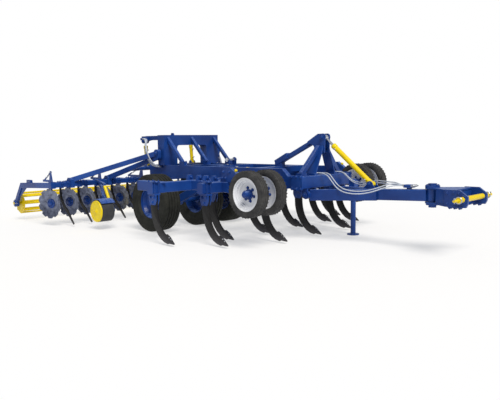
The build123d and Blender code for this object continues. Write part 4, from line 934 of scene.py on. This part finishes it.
stop_mesh = bmesh.new()
STOP_X = AXLE_X + 0.560
for way in (-1, 1):
    rounded_upright(stop_mesh, STOP_X - 0.050, STOP_X + 0.050, RAIL_TOP, 1.345, way * 0.090, 0.016)
block(stop_mesh, (STOP_X - 0.060, -0.150, RAIL_TOP), (STOP_X + 0.058, -0.098, RAIL_TOP + 0.012))
block(stop_mesh, (STOP_X - 0.060, 0.098, RAIL_TOP), (STOP_X + 0.058, 0.150, RAIL_TOP + 0.012))
finish_piece(stop_mesh, "depth_stop_plates", "frame", blue_enamel)
stop_pin = bmesh.new()
pin(stop_pin, (STOP_X, -0.130, 1.296), (STOP_X, 0.130, 1.296), 0.022, 20, 0.004)
for way in (-1, 1):
    turned(stop_pin, ((0.098, 0.022), (0.098, 0.038), (0.104, 0.042), (0.116, 0.042), (0.122, 0.036),
                      (0.122, 0.022)), (STOP_X, 0, 1.296), (0, way, 0), 24)
    for y in (0.112, 0.136):
        hex_bolt(stop_pin, (STOP_X + 0.030, way * y, RAIL_TOP + 0.012), (0, 0, 1), 0.020, 0.014)
finish_piece(stop_pin, "depth_stop_pin", "frame", chrome)
print("stop made")

# %% [markdown]
# A hydraulic cylinder has more to it than a tube and a rod: a screwed gland where the rod comes out, a weld
# ring at the foot, two ports with steel fittings, and pins with collars through both eyes.
# %% Glands, ports and pins of the cylinders
def cylinder_fittings(name, foot, head, reach, radius, rod_radius, barrel_body, side_way):
    """Gland, foot ring and ports on a barrel of that reach and radius, with a wiper collar on its rod."""
    a, b = Vector(foot), Vector(head)
    along = (b - a).normalized()
    trim = bmesh.new()
    gland = (
        (-0.060, radius - 0.002), (-0.060, radius + 0.004), (-0.056, radius + 0.006),
        (-0.006, radius + 0.006), (0.002, radius + 0.002), (0.006, radius - 0.008),
        (0.006, rod_radius + 0.004), (-0.010, rod_radius + 0.004),
    )
    turned(trim, gland, a + along * reach, along, 32)
    ring = (
        (0.048, radius - 0.002), (0.048, radius + 0.004), (0.060, radius + 0.005), (0.064, radius - 0.002),
    )
    turned(trim, ring, a, along, 32)
    for run in (0.110, reach - 0.095):
        port = a + along * run
        way = Vector(side_way)
        pin(trim, port + way * (radius - 0.006), port + way * (radius + 0.020), 0.017, 16, 0.003)
    finish_piece(trim, f"{name}_trim", barrel_body, yellow_enamel)
    fitting = bmesh.new()
    for run in (0.110, reach - 0.095):
        port = a + along * run + Vector(side_way) * (radius + 0.020)
        hex_bolt(fitting, port, side_way, 0.026, 0.020, False)
        pin(fitting, port + Vector(side_way) * 0.016, port + Vector(side_way) * 0.036, 0.009, 12)
    finish_piece(fitting, f"{name}_fittings", barrel_body, zinc)


cylinder_fittings(
    "level_cylinder", (AXLE_X + 3.760, 0, 0.950), (AXLE_X + 2.850, 0, 1.700), 0.960, 0.042, 0.022,
    "level_barrel", (0, -1, 0),
)
cylinder_fittings(
    "axle_cylinder", (AXLE_X + 1.460, 0, 1.085), (AXLE_X + 0.700, 0, 1.140), 0.480, 0.034, 0.018,
    "axle_barrel", (0, -1, 0),
)
for side_name, side in SIDES:
    lift_foot = (AXLE_X - 1.380, side * RAIL_Y, 1.200)
    lift_head = (AXLE_X - 1.420, side * RAIL_Y, 1.680)
    cylinder_fittings(
        f"lift_cylinder_{side_name}", lift_foot, lift_head, 0.385, 0.038, 0.020,
        f"lift_barrel_{side_name}", (0.997, 0, 0.083),
    )
print("cylinders fitted")

# %% [markdown]
# The hitch end carries the heaviest pins: the kingpin with its bolted cap, and the cross shaft with linch
# pins at its ends. A linch pin is a short peg with a spring ring, and the ring is a torus made by spinning
# a small circle about the peg's head.
# %% Bolts and linch pins of the hitch
hitch_mesh = bmesh.new()
for place in around((KINGPIN_X, 0, 0.976), (0, 0, 1), 0.083, 6):
    hex_bolt(hitch_mesh, place, (0, 0, 1), 0.024, 0.016)
for side_name, side in SIDES:
    for x in (0.420, 0.490, 0.560):
        for dy in (-0.028, 0.028):
            seat = (KINGPIN_X + x, side * 0.320 + dy, HITCH_Z - 0.117)
            hex_bolt(hitch_mesh, seat, (0, 0, -1), 0.026, 0.020)
    for x, z in ((0.375, 0.075), (0.375, -0.070), (0.470, 0.085), (0.540, 0.075)):
        hex_bolt(hitch_mesh, (KINGPIN_X + x, side * 0.340, HITCH_Z + z), (0, side, 0), 0.026, 0.016)
finish_piece(hitch_mesh, "hitch_bolts", "hitch_head", blue_enamel)

linch_mesh = bmesh.new()
for side_name, side in SIDES:
    y = side * 0.598
    pin(linch_mesh, (HITCH_X, y, HITCH_Z - 0.034), (HITCH_X, y, HITCH_Z + 0.036), 0.0055, 10)
    head = ((0.030, 0), (0.030, 0.011), (0.040, 0.011), (0.040, 0))
    turned(linch_mesh, head, (HITCH_X, y, HITCH_Z), (0, 0, 1), 14, closed=False)
    ring = [(0.003 * cos(2 * pi * part / 8), 0.024 + 0.003 * sin(2 * pi * part / 8)) for part in range(8)]
    turned(linch_mesh, ring, (HITCH_X, y, HITCH_Z + 0.012), (1, 0, 0), 28)
    collar = ((0.0, 0.038), (0.0, 0.046), (0.004, 0.050), (0.016, 0.050), (0.020, 0.046), (0.020, 0.038))
    turned(linch_mesh, collar, (HITCH_X, side * 0.4625, HITCH_Z), (0, side, 0), 28)
finish_piece(linch_mesh, "linch_pins", "hitch_head", zinc)
print("hitch fitted")

# %% [markdown]
# Every disc turns on its own bearing, bolted through its middle. On the hollow side five bolts and a cap
# show, and on the stem's other side a big axle nut. The disc leans seventeen degrees from straight ahead,
# so its bolts are laid out about that leaning axis.
# %% Hubs of the discs
DISC_Z = 0.455
DISC_YAW = radians(17)
STEM_HALF = 0.015
for number, step in enumerate(DISC_STEPS, start=1):
    side = 1 if step > 0 else -1
    middle = Vector((DISC_X, step * DISC_PITCH, DISC_Z))
    axis = Vector((sin(DISC_YAW), side * cos(DISC_YAW), 0))
    hub_mesh = bmesh.new()
    flange = (
        (0.008, 0.098), (0.020, 0.098), (0.024, 0.094), (0.024, 0.050), (0.044, 0.046), (0.050, 0.038),
        (0.052, 0.0),
    )
    turned(hub_mesh, flange, middle, axis, 28, closed=False)
    for place in around(middle, axis, 0.076, 5, 0.024):
        hex_bolt(hub_mesh, place, axis, 0.019, 0.014)
    finish_piece(hub_mesh, f"disc_hub_{number:02d}", f"disc_{number:02d}", blue_enamel)

stem_mesh = bmesh.new()
for step in DISC_STEPS:
    side = 1 if step > 0 else -1
    bearing = Vector((DISC_X, step * DISC_PITCH - side * (0.075 + STEM_HALF), DISC_Z))
    turned(stem_mesh, ((-0.002, 0.0), (-0.002, 0.052), (0.014, 0.050), (0.020, 0.044), (0.020, 0.0)), bearing,
           (0, -side, 0), 28, closed=False)
    hex_bolt(stem_mesh, bearing + Vector((0, -side * 0.020, 0)), (0, -side, 0), 0.046, 0.026)
finish_piece(stem_mesh, "disc_axle_nuts", "rear_section", blue_enamel)
print("disc hubs:", len(DISC_STEPS))

# %% [markdown]
# The disc stems and the narrow tines are clamped to the disc beam with straps, each with its own bolts.
# One loop makes a strap for every stem and every tine: a plate over the beam, a plate in front, four bolts.
# %% Straps on the disc beam
strap_mesh = bmesh.new()
strap_bolts = bmesh.new()
STRAPS = [(step * DISC_PITCH - (0.075 if step > 0 else -0.075), 0.040) for step in DISC_STEPS]
STRAPS += [((half + 0.5) * DISC_PITCH, 0.030) for half in range(-6, 6)]
for y, half in STRAPS:
    block(strap_mesh, (DISC_BEAM_X - 0.074, y - half, 0.890), (DISC_BEAM_X + 0.074, y + half, 0.902))
    block(strap_mesh, (DISC_BEAM_X + 0.060, y - half, 0.775), (DISC_BEAM_X + 0.072, y + half, 0.892))
    block(strap_mesh, (DISC_BEAM_X - 0.078, y - half, 0.790), (DISC_BEAM_X - 0.060, y - 0.017, 0.892))
    block(strap_mesh, (DISC_BEAM_X - 0.078, y + 0.017, 0.790), (DISC_BEAM_X - 0.060, y + half, 0.892))
    for across in (y - half * 0.55, y + half * 0.55):
        for z in (0.803, 0.865):
            hex_bolt(strap_bolts, (DISC_BEAM_X + 0.072, across, z), (1, 0, 0), 0.019, 0.015)
        hex_bolt(strap_bolts, (DISC_BEAM_X - 0.045, across, 0.902), (0, 0, 1), 0.019, 0.015)
        hex_bolt(strap_bolts, (DISC_BEAM_X + 0.045, across, 0.902), (0, 0, 1), 0.019, 0.015)
finish_piece(strap_mesh, "disc_beam_straps", "rear_section", blue_enamel)
finish_piece(strap_bolts, "disc_beam_bolts", "rear_section", blue_enamel)
print("straps:", len(STRAPS))

# %% [markdown]
# Two pairs of pale hydraulic hoses leave the front beam, hang over the drawbar and end in the holder's
# sockets. Each is one smooth line through a few points, so it sags the way a hose does. The drawbar pitches
# under them, so each hose is left as a plain mesh in place, riding on neither the frame nor the drawbar.
# %% Hoses over the drawbar
HOSE_RADIUS = 0.009
RIGHT_ROUTE = (                    # ahead of the axle, to the left, up
    (2.800, -0.190, 1.105), (2.880, -0.191, 1.110), (2.960, -0.202, 1.106), (3.060, -0.218, 1.076),
    (3.180, -0.270, 0.990), (3.300, -0.325, 0.905), (3.430, -0.350, 0.840), (3.590, -0.335, 0.812),
    (3.760, -0.290, 0.815), (3.920, -0.225, 0.852), (4.060, -0.160, 0.912), (4.180, -0.092, 0.948),
    (4.270, -0.056, 0.956), (4.355, -0.051, 0.956),
)
LEFT_ROUTE = (
    (2.800, 0.350, 1.105), (2.880, 0.350, 1.112), (2.950, 0.347, 1.100), (3.020, 0.340, 1.060),
    (3.095, 0.335, 1.000), (3.200, 0.320, 0.935), (3.330, 0.290, 0.906), (3.470, 0.250, 0.912),
    (3.610, 0.215, 0.938), (3.750, 0.190, 0.958), (3.890, 0.160, 0.958), (4.030, 0.120, 0.952),
    (4.160, 0.075, 0.954), (4.265, 0.054, 0.956), (4.355, 0.051, 0.956),
)


def hose_line(name, route):
    """A smooth NURBS curve object whose control points are the route's points."""
    curve = bpy.data.curves.new(name, "CURVE")
    curve.dimensions = "3D"
    curve.resolution_u = 8
    spline = curve.splines.new("NURBS")
    spline.points.add(len(route) - 1)
    for point, place in zip(spline.points, route):
        point.co = (*place, 1.0)
    spline.order_u = 3
    spline.use_endpoint_u = True
    return bpy.data.objects.new(f"{name}_line", curve)


def hose_piece(name, route, radius, rubber_finish, body, bend=None):
    """A round hose along a route; with a bend given, it is left in place instead of riding on body."""
    line = hose_line(name, route)
    thin = bpy.data.meshes.new_from_object(line)
    path = [vertex.co.copy() for vertex in thin.vertices]
    length = sum((b - a).length for a, b in zip(path, path[1:]))
    line.data.bevel_depth = radius
    line.data.bevel_resolution = 4
    line.data.use_fill_caps = True
    tube = bpy.data.meshes.new_from_object(line)
    tube.name = name
    hose = bpy.data.objects.new(name, tube)
    bpy.data.objects.remove(line)
    bpy.context.scene.collection.objects.link(hose)
    tube.materials.clear()
    tube.materials.append(rubber_finish)
    tube.shade_smooth()
    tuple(path[0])
    if bend:
        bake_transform(hose)
    else:
        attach(hose, body)
    print(name, "is", round(length, 2), "m long")
    return hose


BEND = (("frame", "drawbar"), (AXLE_X + 2.82, 0, 0.76), (AXLE_X + 3.62, 0, 0.76))
for name, route, twin_shift, twin_end in (
    ("hose_right", RIGHT_ROUTE, 0.036, -0.017),
    ("hose_left", LEFT_ROUTE, -0.036, 0.017),
):
    first = [(AXLE_X + x, y, z) for x, y, z in route]
    second = [(AXLE_X + x, y + twin_shift, z + 0.038) for x, y, z in route[3:-2]]
    start = [(AXLE_X + x, y + twin_shift, z) for x, y, z in route[:2]]
    finish = [(AXLE_X + 4.270, twin_end * 1.2, 0.956), (AXLE_X + 4.355, twin_end, 0.956)]
    hose_piece(f"{name}_outer", first, HOSE_RADIUS, hose_rubber, None, BEND)
    hose_piece(f"{name}_inner", start + second + finish, HOSE_RADIUS, hose_rubber, None, BEND)

# %% [markdown]
# Where a hose starts, a bulkhead block carries a steel elbow for it. Where it ends, a quick coupler stands
# in the holder: a knurled sleeve with a smaller nose. Both are turned parts on a plain block.
# %% Bulkheads and couplers
bulkhead_mesh = bmesh.new()
for y in (-0.172, 0.332):
    plate = (FRONT_BEAM_X - 0.075, y - 0.055, 1.069)
    block(bulkhead_mesh, plate, (FRONT_BEAM_X - 0.025, y + 0.055, 1.140), 0.004)
    foot = (FRONT_BEAM_X - 0.095, y - 0.075, 1.069)
    block(bulkhead_mesh, foot, (FRONT_BEAM_X - 0.005, y + 0.075, 1.077), 0.002)
finish_piece(bulkhead_mesh, "hose_bulkheads", "frame", blue_enamel)
fitting_mesh = bmesh.new()
for y in (-0.190, -0.154, 0.350, 0.314):
    seat = Vector((FRONT_BEAM_X - 0.025, y, 1.105))
    hex_bolt(fitting_mesh, seat, (1, 0, 0), 0.030, 0.022, False)
    pin(fitting_mesh, seat, seat + Vector((0.066, 0, 0)), 0.0145, 16, 0.003)
    back = seat + Vector((-0.050, 0, 0))
    hex_bolt(fitting_mesh, back, (-1, 0, 0), 0.028, 0.024, False)
    pin(fitting_mesh, back, back + Vector((-0.060, 0, 0)), 0.0125, 16, 0.003)
finish_piece(fitting_mesh, "hose_fittings", "frame", zinc)
coupler_mesh = bmesh.new()
for y in (-0.051, -0.017, 0.017, 0.051):
    tail = Vector((AXLE_X + 4.325, y, 0.956))
    pin(coupler_mesh, tail, tail + Vector((0.040, 0, 0)), 0.0140, 16, 0.003)
    nose = Vector((AXLE_X + 4.462, y, 0.956))
    sleeve = (
        (0.0, 0.0), (0.0, 0.0135), (0.004, 0.0165), (0.018, 0.0165), (0.021, 0.0145), (0.026, 0.0145),
        (0.029, 0.0165), (0.046, 0.0165), (0.050, 0.0135), (0.050, 0.0090), (0.066, 0.0090),
        (0.068, 0.0070), (0.068, 0.0),
    )
    turned(coupler_mesh, sleeve, nose, (1, 0, 0), 20, closed=False)
finish_piece(coupler_mesh, "hose_couplers", "drawbar", zinc)
print("couplers made")

# %% [markdown]
# Behind the gantry's near post a bundle of pale hoses loops down from the lift cylinder's end of the arm
# to the frame's top. The loops differ a little, as hoses held by one clip do.
# %% Hose bundle at the gantry
BUNDLE_RADIUS = 0.013
BUNDLE = (                         # ahead of the axle, to the left, up
    ((-1.260, -0.712, 1.720), (-1.190, -0.740, 1.705), (-1.120, -0.800, 1.660), (-1.060, -0.880, 1.580),
     (-1.000, -0.915, 1.470), (-0.960, -0.915, 1.360), (-0.935, -0.890, 1.270), (-0.925, -0.830, 1.200),
     (-0.920, -0.760, 1.165), (-0.920, -0.690, 1.155)),
    ((-1.260, -0.744, 1.728), (-1.170, -0.775, 1.715), (-1.080, -0.840, 1.670), (-1.010, -0.905, 1.585),
     (-0.955, -0.945, 1.480), (-0.925, -0.945, 1.370), (-0.895, -0.915, 1.270), (-0.885, -0.840, 1.200),
     (-0.880, -0.760, 1.165), (-0.880, -0.690, 1.155)),
    ((-1.260, -0.776, 1.720), (-1.160, -0.800, 1.722), (-1.060, -0.866, 1.684), (-0.975, -0.932, 1.598),
     (-0.918, -0.962, 1.490), (-0.882, -0.960, 1.382), (-0.856, -0.920, 1.276), (-0.845, -0.842, 1.200),
     (-0.840, -0.760, 1.165), (-0.840, -0.690, 1.155)),
    ((-1.260, -0.808, 1.728), (-1.150, -0.830, 1.740), (-1.040, -0.890, 1.700), (-0.940, -0.950, 1.610),
     (-0.880, -0.980, 1.500), (-0.840, -0.970, 1.390), (-0.815, -0.925, 1.280), (-0.805, -0.840, 1.200),
     (-0.800, -0.760, 1.165), (-0.800, -0.690, 1.155)),
)
for number, route in enumerate(BUNDLE, start=1):
    places = [(AXLE_X + x, y, z) for x, y, z in route]
    hose_piece(f"gantry_hose_{number}", places, BUNDLE_RADIUS, hose_rubber, "frame")
clip_mesh = bmesh.new()
block(clip_mesh, (AXLE_X - 1.300, -0.832, 1.700), (AXLE_X - 1.255, -0.661, 1.750), 0.004)
block(clip_mesh, (AXLE_X - 0.948, -0.694, 1.132), (AXLE_X - 0.772, -0.668, 1.178), 0.004)
finish_piece(clip_mesh, "hose_clips", "frame", blue_enamel)
ferrule_mesh = bmesh.new()
for route in BUNDLE:
    for start, toward in ((route[0], route[1]), (route[-1], route[-2])):
        a = Vector((AXLE_X + start[0], *start[1:]))
        b = Vector((AXLE_X + toward[0], *toward[1:]))
        along = (b - a).normalized()
        pin(ferrule_mesh, a - along * 0.010, a + along * 0.052, 0.0155, 14, 0.003)
finish_piece(ferrule_mesh, "gantry_hose_ferrules", "frame", zinc)
print("bundle made")

# %% [markdown]
# The drum of a depth wheel has a yellow cap with a rolled edge, and a hub with a nut on its shaft. Six
# bolts hold the cap to the drum.
# %% Caps and hubs of the depth wheels
DEPTH_X = AXLE_X - 0.960
DEPTH_Z = 0.360
for side_name, side in SIDES:
    face = Vector((DEPTH_X, side * 2.128, DEPTH_Z))
    cap_mesh = bmesh.new()
    edge = (
        (-0.004, 0.188), (0.002, 0.190), (0.005, 0.195), (0.004, 0.201), (-0.004, 0.2045), (-0.018, 0.2050),
    )
    turned(cap_mesh, edge, face, (0, side, 0), 56)
    boss = ((-0.002, 0.060), (0.004, 0.058), (0.006, 0.050), (0.006, 0.0))
    turned(cap_mesh, boss, face, (0, side, 0), 32, False)
    finish_piece(
        cap_mesh, f"depth_cap_rim_{side_name}", f"depth_wheel_{side_name}", yellow_enamel
    )
    nut_mesh = bmesh.new()
    for place in around(face, (0, side, 0), 0.150, 6, 0.0):
        hex_bolt(nut_mesh, place, (0, side, 0), 0.017, 0.010)
    hex_bolt(nut_mesh, face + Vector((0, side * 0.006, 0)), (0, side, 0), 0.036, 0.018)
    finish_piece(nut_mesh, f"depth_wheel_nuts_{side_name}", f"depth_wheel_{side_name}",
                 yellow_enamel)
print("depth wheels finished")

# %% [markdown]
# The roller turns in flanged bearings at the ends of its arms. A flange is an oval casting in life; here a
# turned housing on a square plate with four bolts gives the same look at the photograph's size.
# %% Roller bearings and pins of the masts
bearing_mesh = bmesh.new()
bearing_bolts = bmesh.new()
for side_name, side in SIDES:
    face = Vector((ROLLER_X, side * 2.555, 0.380))
    housing = ((-0.004, 0.062), (0.010, 0.060), (0.016, 0.052), (0.020, 0.036), (0.020, 0.0))
    turned(bearing_mesh, housing, face, (0, side, 0), 28, closed=False)
    for place in around(face, (0, side, 0), 0.066, 4, 0.0, pi / 4):
        hex_bolt(bearing_bolts, place, (0, side, 0), 0.019, 0.014)
    for x in (-2.940, -2.860):
        pin(bearing_bolts, (AXLE_X + x, side * 2.486, 0.885), (AXLE_X + x, side * 2.554, 0.885), 0.0105, 12)
    for mast_y, x, z in ((2.510, -1.960, 1.100), (1.430, -1.950, 1.090), (0.400, -1.900, 1.130)):
        for way in (-1, 1):
            hex_bolt(bearing_bolts, (AXLE_X + x, side * mast_y + way * 0.009, z), (0, way, 0), 0.024, 0.014)
finish_piece(bearing_mesh, "roller_bearings", "rear_section", blue_enamel)
finish_piece(bearing_bolts, "rear_section_bolts", "rear_section", zinc)
print("roller bearings made")

# %% [markdown]
# Each mast's spindle is a screw with a handle: turning it sets the depth of what hangs below. The thread is
# far too fine to see here, so short rolled grooves, spaced wider than life, stand for it.
# %% Spindle grooves and handles on the masts
MAST_SPINDLES = (                  # y, apex x and z, foot x and z
    (2.510, -1.960, 1.100, -2.260, 0.915),
    (1.430, -1.950, 1.090, -2.290, 0.925),
    (0.400, -1.900, 1.130, -2.420, 0.925),
)
spindle_mesh = bmesh.new()
for side_name, side in SIDES:
    for y, apex_x, apex_z, foot_x, foot_z in MAST_SPINDLES:
        a = Vector((AXLE_X + apex_x, side * y, apex_z))
        b = Vector((AXLE_X + foot_x, side * y, foot_z))
        run = (b - a).length
        outline = [(0.060, 0.012)]
        count = int((run - 0.20) / 0.012)
        for turn_number in range(count):
            at = 0.062 + turn_number * 0.012
            outline += [(at, 0.0165), (at + 0.006, 0.0165), (at + 0.007, 0.0145), (at + 0.011, 0.0145)]
        outline += [(0.060 + count * 0.012, 0.012)]
        turned(spindle_mesh, outline, a, b - a, 14)
finish_piece(spindle_mesh, "mast_spindles", "rear_section", zinc)
print("spindles made")

# %% [markdown]
# The tower is pinned and bolted: a pin through its apex with collars on both sides, and bolts through the
# feet of its legs and of the stay.
# %% Tower pins and bolts
tower_mesh = bmesh.new()
for way in (-1, 1):
    hex_bolt(tower_mesh, (AXLE_X + 2.850, way * 0.090, 1.700), (0, way, 0), 0.044, 0.024)
    for x in (2.725, 2.860):
        for y in (0.470, 0.545):
            hex_bolt(tower_mesh, (AXLE_X + x, way * y, 1.070), (0, 0, 1), 0.026, 0.018)
finish_piece(tower_mesh, "tower_bolts", "frame", blue_enamel)
lug_mesh = bmesh.new()
for way in (-1, 1):
    hex_bolt(lug_mesh, (AXLE_X + 3.760, way * 0.080, 0.950), (0, way, 0), 0.040, 0.020)
finish_piece(lug_mesh, "drawbar_bolts", "drawbar", blue_enamel)
print("tower bolted")

# %% [markdown]
# The parking jack has a crank: a short shaft out of its gearbox, an arm and a grip. It folds down beside
# the sleeve when the machine travels.
# %% Crank of the parking jack
JACK_X = AXLE_X + 3.060
JACK_Y = 0.530
jack_mesh = bmesh.new()
turned(jack_mesh, ((0.935, 0.046), (0.935, 0.062), (0.956, 0.062), (0.964, 0.056), (0.964, 0.046)),
       (JACK_X, JACK_Y, 0), (0, 0, 1), 28)
block(jack_mesh, (JACK_X - 0.040, JACK_Y + 0.050, 0.860), (JACK_X + 0.040, JACK_Y + 0.096, 0.935), 0.006)
finish_piece(jack_mesh, "jack_gearbox", "drawbar", blue_enamel)
crank_mesh = bmesh.new()
pin(crank_mesh, (JACK_X, JACK_Y + 0.092, 0.898), (JACK_X, JACK_Y + 0.128, 0.898), 0.010)
pin(crank_mesh, (JACK_X, JACK_Y + 0.121, 0.905), (JACK_X, JACK_Y + 0.121, 0.735), 0.008)
pin(crank_mesh, (JACK_X, JACK_Y + 0.114, 0.742), (JACK_X, JACK_Y + 0.205, 0.742), 0.008)
CRANK_GRIP = ((0.0, 0.008), (0.0, 0.014), (0.010, 0.017), (0.060, 0.017), (0.070, 0.014), (0.070, 0.008))
turned(crank_mesh, CRANK_GRIP, (JACK_X, JACK_Y + 0.132, 0.742), (0, 1, 0), 16)
finish_piece(crank_mesh, "jack_crank", "drawbar", zinc)
print("jack finished")
